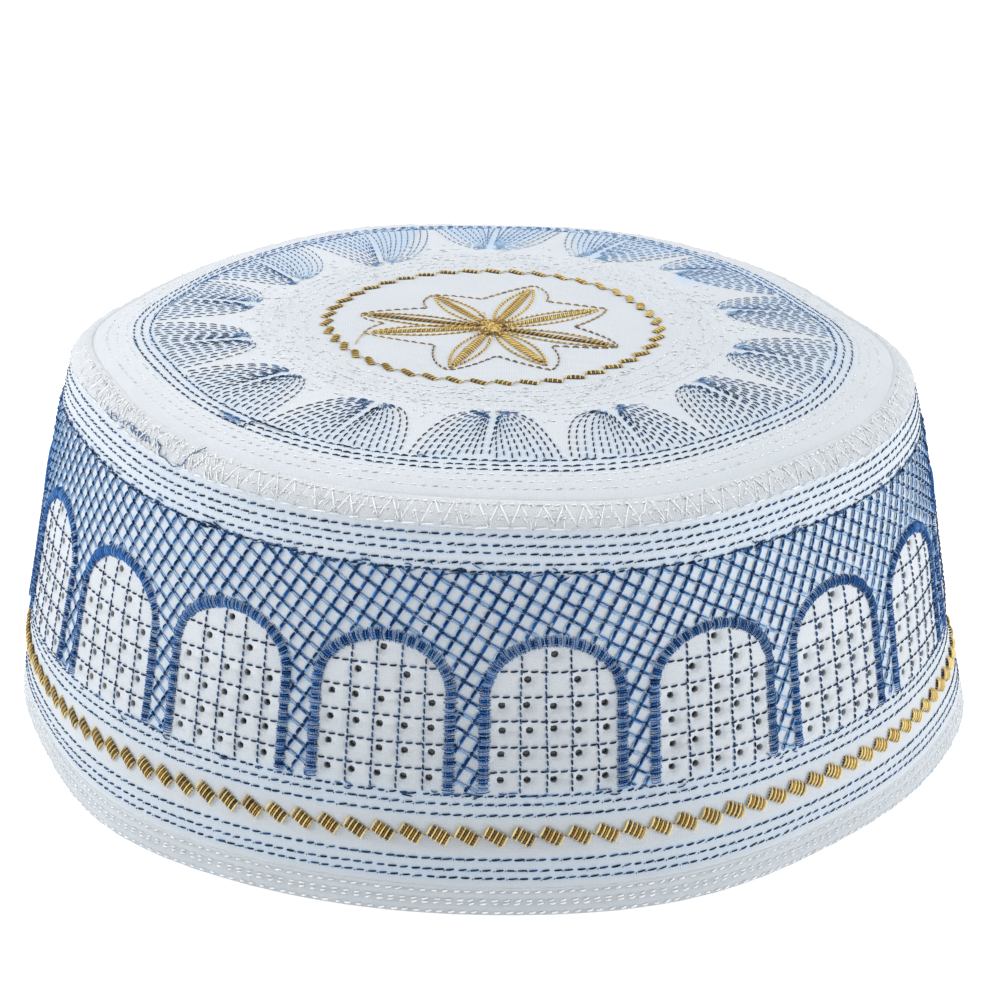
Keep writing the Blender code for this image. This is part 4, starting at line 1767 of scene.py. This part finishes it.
    def _stretches(self, azimuth: Array, run: Array) -> Array:
        """The stretches of one line between its crossings, clipped to the lattice.

        Args:
            azimuth: the crossings' azimuths.
            run: their runs.

        Returns:
            A row for each stretch: azimuth and run of its first end, then of its last.
        """
        t = np.linspace(0.0, 1.0, 9)[:, None]
        turn = azimuth[:-1] + (azimuth[1:] - azimuth[:-1]) * t
        level = run[:-1] + (run[1:] - run[:-1]) * t
        inside = (level > RUN_LATTICE_TOP) & (level < RUN_ARCH_FOOT)
        inside &= ~((np.abs(from_arch(turn)) < arch_reach(level, -0.7)) & (level > RUN_ARCH_HEAD - 0.7))
        found = []
        for column in np.flatnonzero(inside.sum(axis=0) >= 3):
            low, high = np.flatnonzero(inside[:, column])[[0, -1]]
            found.append((turn[low, column], level[low, column], turn[high, column], level[high, column]))
        return np.array(found)

    def _lattice_line(self, thread: StitchField, own: LineSet, stretches: Array, dice: Dice) -> None:
        """Sews the strands of one line from crossing to crossing.

        Args:
            thread: takes the stitches.
            own: the set that the line belongs to.
            stretches: both ends of each stretch between two crossings.
            dice: gives the small unevenness.
        """
        if not len(stretches):
            return
        az0, run0, az1, run1 = stretches.T
        turn, drop, count = az1 - az0, run1 - run0, len(az0)
        arc = np.radians(turn) * LATTICE_RADIUS
        length = np.hypot(arc, drop)
        bows = dice.normal(0.0, 0.16, count) if own.slant is Slant.SHALLOW else np.zeros(count)
        beside = np.abs(np.cos(np.radians(az0))) ** 2
        for strand in own.strands:
            kept = dice.random(count) < strand.share * (1 - 0.7 * beside * (strand.share < 0.6))
            across_az = FORM.degrees(drop / length * strand.side, run0)
            across_run = -arc / length * strand.side
            ends = []
            for place in (strand.first, strand.last):
                at = place + dice.normal(0, 0.03, count)
                ends.append(((az0 + turn * at + across_az)[kept], (run0 + drop * at + across_run)[kept]))
            # Painted sheen: strands are paler on the left and right sides of the cap, the light ones most.
            paler = beside * (0.40 if strand.shade > 0.3 else 0.16)
            shade = np.clip(strand.shade + paler + dice.normal(0, 0.14, count), 0, 1)
            width = strand.width * (1.08 - 0.28 * beside[kept] + dice.normal(0, 0.10, int(kept.sum())))
            thread.add(*ends, shade[kept], width=width, lift=strand.lift, bend=bows[kept])
        if own.slant is Slant.STEEP:
            whole = length > 2.0
            turn, drop = turn[whole], drop[whole]
            middle, level = az0[whole] - turn * 0.10, run0[whole] - drop * 0.10
            lean, fall = turn * 0.17 + FORM.degrees(0.16, level), drop * 0.17
            shade = dice.uniform(0.0, 0.12, len(turn))
            start, end = (middle - lean, level - fall), (middle + lean, level + fall)
            thread.add(start, end, shade, width=1.35, lift=0.26)

    def _grids(self) -> None:
        """The squared running stitches inside each arch."""
        dice = np.random.default_rng(24)
        upright = StitchField("grid_uprights", width=0.44, height=0.32, rise=0.13, ground=self.relief)
        level = StitchField("grid_levels", width=0.44, height=0.32, rise=0.14, ground=self.relief)
        for number in range(ARCH_COUNT):
            middle = arch_middle(number)
            tone = float(self.thread_shade(np.array(middle)))
            for column in self.grid_uprights:
                side = column * GRID_COLUMN
                runs = np.linspace(RUN_ARCH_HEAD, RUN_ARCH_FOOT, 120)
                runs = runs[arch_reach(runs, 0.9) > abs(side)]
                bend = middle + side + np.interp(runs, np.linspace(100, 128, 6), dice.normal(0, 0.06, 6))
                start, end = path_stitches(bend, runs, self.upright_stitch)
                lean = FORM.degrees(0.07, start[1])
                start, end = (start[0] - lean, start[1]), (end[0] + lean, end[1])
                upright.add(start, end, tone + 0.12 + dice.normal(0, 0.12, len(lean)), lift=0.06)
            for row in range(1, self.grid_levels + 1):
                run = RUN_BASE_ROW - row * GRID_ROW
                half = float(arch_reach(run, 0.9))
                azimuth = middle + np.linspace(-half, half, 20)
                drift = np.interp(azimuth, np.linspace(azimuth[0], azimuth[-1], 5), dice.normal(0, 0.07, 5))
                start, end = path_stitches(azimuth, run + drift, self.level_stitch)
                shade = tone + dice.normal(0, 0.08, len(start[0]))
                level.add((start[0], start[1] + 0.07), (end[0], end[1] - 0.07), shade, lift=0.06)
        self.finishes.sew(upright, Thread.NAVY)
        self.finishes.sew(level, Thread.NAVY)

    def _arch(self, number: int) -> None:
        """The satin-stitched cord of one arch.

        Args:
            number: counts the arches from the front to the right.
        """
        dice = np.random.default_rng(100 + number)
        name = f"arch_satin_{number + 1:02d}"
        cord = StitchField(name, width=0.25, height=0.36, rise=0.58, sink=0.08, rings=5, fullness=0.4)
        leg = np.linspace(RUN_ARCH_FOOT, RUN_ARCH_SPRING, 30)
        turn = np.linspace(0, math.pi, 90)
        head_azimuth = ARCH_HALF_WIDTH * np.cos(turn)
        head_run = RUN_ARCH_SPRING - (RUN_ARCH_SPRING - RUN_ARCH_HEAD) * np.sin(turn)
        azimuth = np.concatenate([np.full(30, ARCH_HALF_WIDTH), head_azimuth, np.full(30, -ARCH_HALF_WIDTH)])
        run = np.concatenate([leg, head_run, leg[::-1]])
        x = np.radians(azimuth) * FORM.radius(run)
        way = np.concatenate([[0.0], np.cumsum(np.hypot(np.diff(x), np.diff(run)))])
        place = np.arange(0.1, way[-1], self.cord_pitch)
        centre_x = np.interp(place, way, x)
        centre_run = np.interp(place, way, run)
        ahead_x = np.interp(place + 0.3, way, x) - np.interp(place - 0.3, way, x)
        ahead_run = np.interp(place + 0.3, way, run) - np.interp(place - 0.3, way, run)
        size = np.hypot(ahead_x, ahead_run)
        ahead_x, ahead_run = ahead_x / size, ahead_run / size
        half = ARCH_CORD_WIDTH / 2 + dice.normal(0.04, 0.12, len(place))
        lean = dice.normal(0.08, 0.05, len(place))
        across_x = (-ahead_run + lean * ahead_x) * half
        across_run = (ahead_x + lean * ahead_run) * half
        middle = arch_middle(number)
        start = (middle + FORM.degrees(centre_x - across_x, centre_run), centre_run - across_run)
        end = (middle + FORM.degrees(centre_x + across_x, centre_run), centre_run + across_run)
        # Bars alternate lighter and darker over near-black padding: painted shade in the gaps between the
        # bars.
        tone = np.where(np.arange(len(place)) % 2 == 0, 0.60, 0.24) + dice.normal(0, 0.10, len(place))
        cord.add(start, end, np.clip(tone, 0.0, 1.0), lift=0.08)
        for side in self.cord_shade_padding:
            under_x, under_run = centre_x - side * ahead_run, centre_run + side * ahead_x
            picked = np.arange(0, len(place) - 5, 5)
            first = (middle + FORM.degrees(under_x[picked], under_run[picked]), under_run[picked])
            last = (middle + FORM.degrees(under_x[picked + 5], under_run[picked + 5]), under_run[picked + 5])
            cord.add(first, last, 0.04, width=2.3, lift=-0.44 - 0.35 * abs(side))
        self.finishes.sew(cord, Thread.BLUE, f"arch_cord_{number + 1:02d}")


def turned_strip(
    name: str, columns: int, section: list[tuple[float, float]], relief: Spread
) -> bpy.types.Mesh:
    """A closed ring of cloth from a section of (run, offset) corners.

    Args:
        name: the mesh's name.
        columns: steps round the cap.
        section: the corners, in order round the section.
        relief: how far the outer face leaves the section, by azimuth and run.

    Returns:
        The mesh, on the worn cap.
    """
    shape = cap_shape()
    corners = [shape.verts.new((run, 0.0, offset)) for run, offset in section]
    edges = [shape.edges.new(pair) for pair in zip(corners, corners[1:] + corners[:1])]
    ring = corners
    loops = [ring]
    for _ in range(columns - 1):
        grown = bmesh.ops.extrude_edge_only(shape, edges=edges)["geom"]
        fresh = {item for item in grown if isinstance(item, bmesh.types.BMVert)}
        follow = []
        for vert in ring:
            follow += [edge.other_vert(vert) for edge in vert.link_edges if edge.other_vert(vert) in fresh]
        edges = [shape.edges.get(pair) for pair in zip(follow, follow[1:] + follow[:1])]
        ring = follow
        loops.append(ring)
    first = [shape.edges.get(pair) for pair in zip(loops[0], loops[0][1:] + loops[0][:1])]
    for number, loop in enumerate(loops):
        azimuth = np.full(len(loop), number * 360.0 / columns)
        run, offset = np.array(section).T
        settle(shape, loop, azimuth, run, offset + relief(azimuth, run) * (offset > -0.3))
    bmesh.ops.bridge_loops(shape, edges=first + edges)
    bmesh.ops.recalc_face_normals(shape, faces=shape.faces)
    mesh = bpy.data.meshes.new(name)
    shape.to_mesh(mesh)
    shape.free()
    mesh.shade_smooth()
    return mesh


@dataclass
class ShoulderTape:
    """The zigzag-stitched tape over the join of top and band."""

    finishes: Finishes
    columns: int = 720
    zigzags: int = 130
    short_stitches: int = 620
    end_stitches: int = 90
    loose_stitches: int = 60
    end: float = 222.0
    rows: tuple[ThreadRow, ...] = (ThreadRow(76.9, 1.5, 0.95, 0.12), ThreadRow(79.0, 1.5, 0.85, 0.15))
    edge_row: ThreadRow = ThreadRow(81.0, 3.2, 2.5, 0.10)
    curl: tuple[Place, ...] = (
        Place(220.8, 79.0),
        Place(222.2, 79.7),
        Place(222.4, 80.8),
        Place(223.8, 80.8),
        Place(225.5, 81.4),
        Place(226.9, 80.4),
        Place(227.5, 78.3),
        Place(228.3, 76.8),
        Place(228.7, 75.9),
    )

    def relief(self, azimuth: Array, run: Array) -> Array:
        """Puckers between the stitches, the lump at the tape's end and the crease on the left.

        Args:
            azimuth: degrees from +X.
            run: millimetres along the profile.

        Returns:
            Millimetres outwards.
        """
        angle = np.radians(azimuth)
        pucker = 0.10 * np.sin(angle * 130 + np.sin(angle * 17)) * smooth_step(76.0, 77.5, run)
        pucker = pucker + 0.07 * np.sin(angle * 57 + run * 1.7) + 0.05 * np.sin(angle * 211 - run * 2.1)
        away = turn_gap(azimuth, self.end)
        lump = ridge(away, -1.0, 7.0) * (0.35 * ridge(run, 78.4, 2.2) + 0.22 * np.sin(angle * 95 + run * 2.4))
        crease = 0.40 * ridge(turn_gap(azimuth, 192.0), 0.0, 13.0) * ridge(run, 76.2, 0.9)
        middle = smooth_step(RUN_TAPE_TOP - 0.1, 76.4, run) * (1 - smooth_step(80.6, 81.3, run))
        return (pucker + lump) * middle + crease

    def dim(self, azimuth: Array, run: Array) -> Array:
        """Painted shade on the tape: greyer between its rows in front, and on the right."""
        front = facing(azimuth)
        return 0.10 + 0.24 * front * ridge(run, 79.6, 1.6) + 0.32 * facing(azimuth, RIGHT)

    def _lift(self, azimuth: Array, extra: float) -> Array:
        """How high stitches lie: pulled into the tape on the sides and behind, where its edge is clean."""
        behind = smooth_step(-0.4, 0.1, np.sin(np.radians(azimuth)))
        return TAPE_RISE + extra - (0.20 + 0.6 * extra) * behind

    def build(self) -> None:
        """Builds the tape and its stitches."""
        section = [
            (RUN_TAPE_TOP - 0.1, -0.5),
            (RUN_TAPE_TOP - 0.1, 0.0),
            (RUN_TAPE_TOP + 0.35, 0.18),
            (RUN_TAPE_TOP + 0.9, 0.30),
            (77.4, TAPE_RISE),
            (78.2, TAPE_RISE + 0.05),
            (79.0, TAPE_RISE),
            (79.8, TAPE_RISE),
            (80.5, TAPE_RISE),
            (RUN_TAPE_FOOT - 0.2, 0.26),
            (RUN_TAPE_FOOT + 0.1, 0.06),
            (RUN_TAPE_FOOT + 0.1, -0.5),
            (RUN_SEAM, -0.75),
        ]
        mesh = turned_strip("tape_cloth", self.columns, section, self.relief)
        dress_cloth(mesh, lambda azimuth, run: 0.2 * smooth_step(80.6, 81.3, run), self.dim)
        dress(add_mesh_object("tape_cloth", mesh), self.finishes.tape, "white_tape", ("shoulder_tape",))
        self._stitches()
        self._tape_end()

    def _stitches(self) -> None:
        """Running rows, the zigzag with its needle holes, and the long edge stitches."""
        dice = np.random.default_rng(31)
        white = StitchField("tape_stitches", width=0.34, height=0.30, rise=0.14, ground=self.relief)
        for row in (*self.rows, self.edge_row):
            start, end = ring_stitches(row, dice)
            white.add(start, end, 0.6 + dice.normal(0, 0.25, len(start[0])), lift=self._lift(start[0], 0.0))
        pitch = 360.0 / self.zigzags
        middle = np.arange(self.zigzags) * pitch + dice.normal(0, 0.06 * pitch, self.zigzags)
        top = 76.5 + dice.normal(0, 0.2, self.zigzags)
        foot = 80.5 + dice.normal(0, 0.2, self.zigzags)
        lift = self._lift(middle, 0.12)
        # Painted shade: the zigzag thread greys towards the right.
        tone = 0.95 - 0.5 * facing(middle, RIGHT)
        white.add((middle, top), (middle + 0.46 * pitch, foot), tone, lift=lift)
        white.add((middle + 0.52 * pitch, foot), (middle + pitch, top), tone, lift=lift)
        count = self.short_stitches
        azimuth, run = dice.uniform(0, 360, count), dice.uniform(76.6, 80.6, count)
        lean, size = dice.normal(0, 0.6, count), dice.uniform(0.3, 0.8, count)
        side = FORM.degrees(size * np.sin(lean), run)
        start, end = (azimuth - side, run - size * np.cos(lean)), (azimuth + side, run + size * np.cos(lean))
        white.add(start, end, dice.uniform(0.5, 1.0, count), width=0.7, lift=self._lift(azimuth, 0.02))
        self.finishes.sew(white, Thread.WHITE)
        look = {"width": 0.30, "height": 0.2, "rise": 0.05, "rings": 2}
        # Needle holes: small flat-grey stitches, painted shade where the needle went through.
        holes = StitchField("tape_needle_holes", ground=self.relief, **look)
        turn, level = middle + 0.49 * pitch, foot + 0.12
        holes.add((turn - 0.12, level), (turn + 0.16, level + 0.12), 0.0, lift=TAPE_RISE + 0.02)
        kept = dice.random(self.zigzags) < 0.5
        holes.add((middle[kept] - 0.1, top[kept] - 0.1), (middle[kept] + 0.1, top[kept]), 0.0, lift=TAPE_RISE)
        dress(holes.build(), self.finishes.vent, "white_tape")

    def _tape_end(self) -> None:
        """Slanted white stitches over the tape's end, and loose blue ends of thread below it."""
        dice = np.random.default_rng(32)
        white = StitchField("tape_end_stitches", width=0.32, height=0.28, rise=0.14, ground=self.relief)
        count = self.end_stitches
        azimuth = self.end + dice.uniform(-22.0, 12.0, count)
        run = 78.4 + dice.uniform(-2.0, 2.2, count)
        size = dice.uniform(0.4, 1.0, count)
        lean = FORM.degrees(size * 0.55, run)
        start, end = (azimuth - lean, run - size * 0.8), (azimuth + lean, run + size * 0.8)
        white.add(start, end, 0.95, lift=TAPE_RISE + 0.1)
        self.finishes.sew(white, Thread.WHITE)
        blue = StitchField("loose_blue_ends", width=0.26, height=0.24, rise=0.05, ground=self.relief)
        steps = np.linspace(0, len(self.curl) - 1, 30)
        curl = np.stack([np.interp(steps, np.arange(len(self.curl)), row) for row in zip(*self.curl)], axis=1)
        blue.add_path(curl, 0.45 + dice.normal(0, 0.15, 29), lift=0.60)
        count = self.loose_stitches
        azimuth = dice.uniform(206.0, 221.5, count)
        run = 80.4 - 0.09 * (azimuth - 208.0) + dice.normal(0, 0.35, count)
        size = dice.uniform(0.3, 0.9, count)
        side = FORM.degrees(size, run)
        rise = dice.normal(0.1, 0.5, count) * size
        tone = dice.uniform(0.2, 0.8, count)
        blue.add((azimuth - side, run + rise), (azimuth + side, run - rise), tone, width=0.7, lift=0.5)
        self.finishes.sew(blue, Thread.NAVY)


@dataclass
class RimHem:
    """The turned hem with its white rows."""

    finishes: Finishes
    columns: int = 720
    rows: tuple[ThreadRow, ...] = (
        ThreadRow(144.7, 2.0, 1.2, 0.05),
        ThreadRow(146.2, 2.0, 1.2, 0.05),
        ThreadRow(146.8, 2.0, 1.2, 0.05),
        ThreadRow(148.3, 2.0, 1.2, 0.04),
    )

    def relief(self, azimuth: Array, run: Array) -> Array:
        """The hem's hollows along its rows and its small puckers.

        Args:
            azimuth: degrees from +X.
            run: millimetres along the profile.

        Returns:
            Millimetres outwards.
        """
        angle = np.radians(azimuth)
        hollow = sum(ridge(run, row.run, 0.28) for row in self.rows)
        pucker = np.sin(angle * 97 + run * 3.1) + 0.7 * np.sin(angle * 61 - run * 2.2)
        free = smooth_step(RUN_HEM_TOP, RUN_HEM_TOP + 0.5, run)
        return (0.07 * pucker - 0.26 * hollow) * free

    def dim(self, azimuth: Array, run: Array) -> Array:
        """Painted shade on the hem: greyest in front, on the right and in the hollows along its rows.

        Args:
            azimuth: degrees from +X.
            run: millimetres along the profile.

        Returns:
            The share of the shaded cloth's colour.
        """
        front = facing(azimuth) ** 2
        rows = np.clip(sum(ridge(run, row.run, 0.3) for row in self.rows), 0, 1)
        return 0.38 + 0.22 * front + 0.28 * rows + 0.14 * facing(azimuth, RIGHT)

    def build(self) -> None:
        """Builds the hem and its stitches."""
        rim = FORM.rim
        face = (RUN_HEM_TOP - 0.1, 144.3, 144.7, 145.1, 145.6, 146.1, 146.5, 147.0, 147.5, 148.0, rim - 0.6)
        section = [(run, 0.0) for run in face]
        section += [(rim - 0.2, -0.2), (rim, -0.5), (rim, -HEM_WALL + 0.5), (rim - 0.3, -HEM_WALL)]
        section += [(146.5, -HEM_WALL), (RUN_HEM_TOP - 0.1, -HEM_WALL)]
        mesh = turned_strip("hem_cloth", self.columns, section, self.relief)
        dress_cloth(mesh, lambda azimuth, run: 0 * run, self.dim)
        dress(add_mesh_object("hem_cloth", mesh), self.finishes.cloth, "white_cloth", ("rim_hem",))
        dice = np.random.default_rng(41)
        white = StitchField("hem_white_rows", width=0.44, height=0.34, rise=0.16, ground=self.relief)
        for row in self.rows:
            start, end = ring_stitches(row, dice)
            white.add(start, end, 0.9 + dice.normal(0, 0.08, len(start[0])), lift=0.06)
        self.finishes.sew(white, Thread.WHITE)


@dataclass(frozen=True)
class Studio:
    """The camera at the photograph's angle, a pale floor and soft light.

    The lens, the distance and the height are in millimetres, the turns in radians.
    """

    lens: float = 117.33
    distance: float = 586.6
    height: float = 284.9
    yaw: float = 0.0038
    pitch: float = 0.3966
    roll: float = 0.0231

    def build(self) -> None:
        """Builds the camera, the floor and the lights."""
        self._camera()
        self._floor()
        self._lights()

    def _camera(self) -> None:
        """The camera, turned by yaw, pitch and roll."""
        data = bpy.data.cameras.new("camera")
        data.lens = self.lens
        data.sensor_width = 36.0
        camera = bpy.data.objects.new("camera", data)
        bpy.context.scene.collection.objects.link(camera)
        turn = Matrix.Rotation(-self.yaw, 4, "Z") @ Matrix.Rotation(math.pi / 2 - self.pitch, 4, "X")
        turn = turn @ Matrix.Rotation(self.roll, 4, "Z")
        place = Vector((0.0, -self.distance, self.height)) + Vector(FORM.shift)
        camera.matrix_world = Matrix.Translation(place * MM) @ turn
        bpy.context.scene.camera = camera

    def _floor(self) -> None:
        """A wide, nearly white floor that glows to a plain white, with no glow under the cap."""
        shape = bmesh.new()
        bmesh.ops.create_grid(shape, x_segments=1, y_segments=1, size=6.0)
        mesh = bpy.data.meshes.new("floor")
        shape.to_mesh(mesh)
        shape.free()
        floor = add_mesh_object("floor", mesh)
        nodes = Nodes("pale_floor")
        # Painted glow: the floor's emission keeps it evenly white; under the cap it is left nearly dark, as
        # painted shade.
        away = nodes.add("ShaderNodeVectorMath", {"operation": "LENGTH"}, {0: nodes.place()}, "Value")
        lit = nodes.add(
            "ShaderNodeMapRange", inputs={"Value": away, "From Min": 0.080, "From Max": 0.088, "To Max": 1.0}
        )
        glow = nodes.mix(lit, (0.03, 0.03, 0.03), (0.36, 0.36, 0.36))
        nodes.set(Base_Color=(0.93, 0.93, 0.93), Roughness=0.95, Specular_IOR_Level=0.0)
        nodes.set(Emission_Color=glow, Emission_Strength=1.0)
        mesh.materials.append(nodes.material)

    def _lights(self) -> None:
        """A bright room and large soft boxes on both sides and overhead."""
        scene = bpy.context.scene
        scene.view_settings.view_transform = "Standard"
        world = bpy.data.worlds.new("room")
        world.use_nodes = True
        world.node_tree.nodes["Background"].inputs["Color"].default_value = (0.95, 0.97, 1.0, 1.0)
        world.node_tree.nodes["Background"].inputs["Strength"].default_value = 0.42
        scene.world = world
        self._soft_box("left", (-1.2, -0.15, 0.65), 0.8, 9.0)
        self._soft_box("right", (1.25, -0.25, 0.60), 0.8, 9.0)
        self._soft_box("top", (0.0, 0.35, 1.5), 0.9, 10.0)

    def _soft_box(self, name: str, place: tuple[float, float, float], size: float, power: float) -> None:
        """One square area light that faces the cap.

        Args:
            name: the light's name.
            place: where it stands, in metres.
            size: its side, in metres.
            power: its power, in watts.
        """
        data = bpy.data.lights.new(name, "AREA")
        data.size = size
        data.energy = power
        light = bpy.data.objects.new(name, data)
        bpy.context.scene.collection.objects.link(light)
        aim = Vector((0.0, 0.0, 0.04)) - Vector(place)
        light.matrix_world = Matrix.Translation(place) @ aim.to_track_quat("-Z", "Y").to_matrix().to_4x4()


def main() -> None:
    """Builds the studio and the cap."""
    logging.basicConfig(level=logging.INFO, format="%(message)s")
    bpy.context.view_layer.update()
    Studio().build()
    finishes = Finishes()
    for part in (Crown, SideBand, ShoulderTape, RimHem):
        part(finishes).build()


if __name__ == "__main__":
    main()
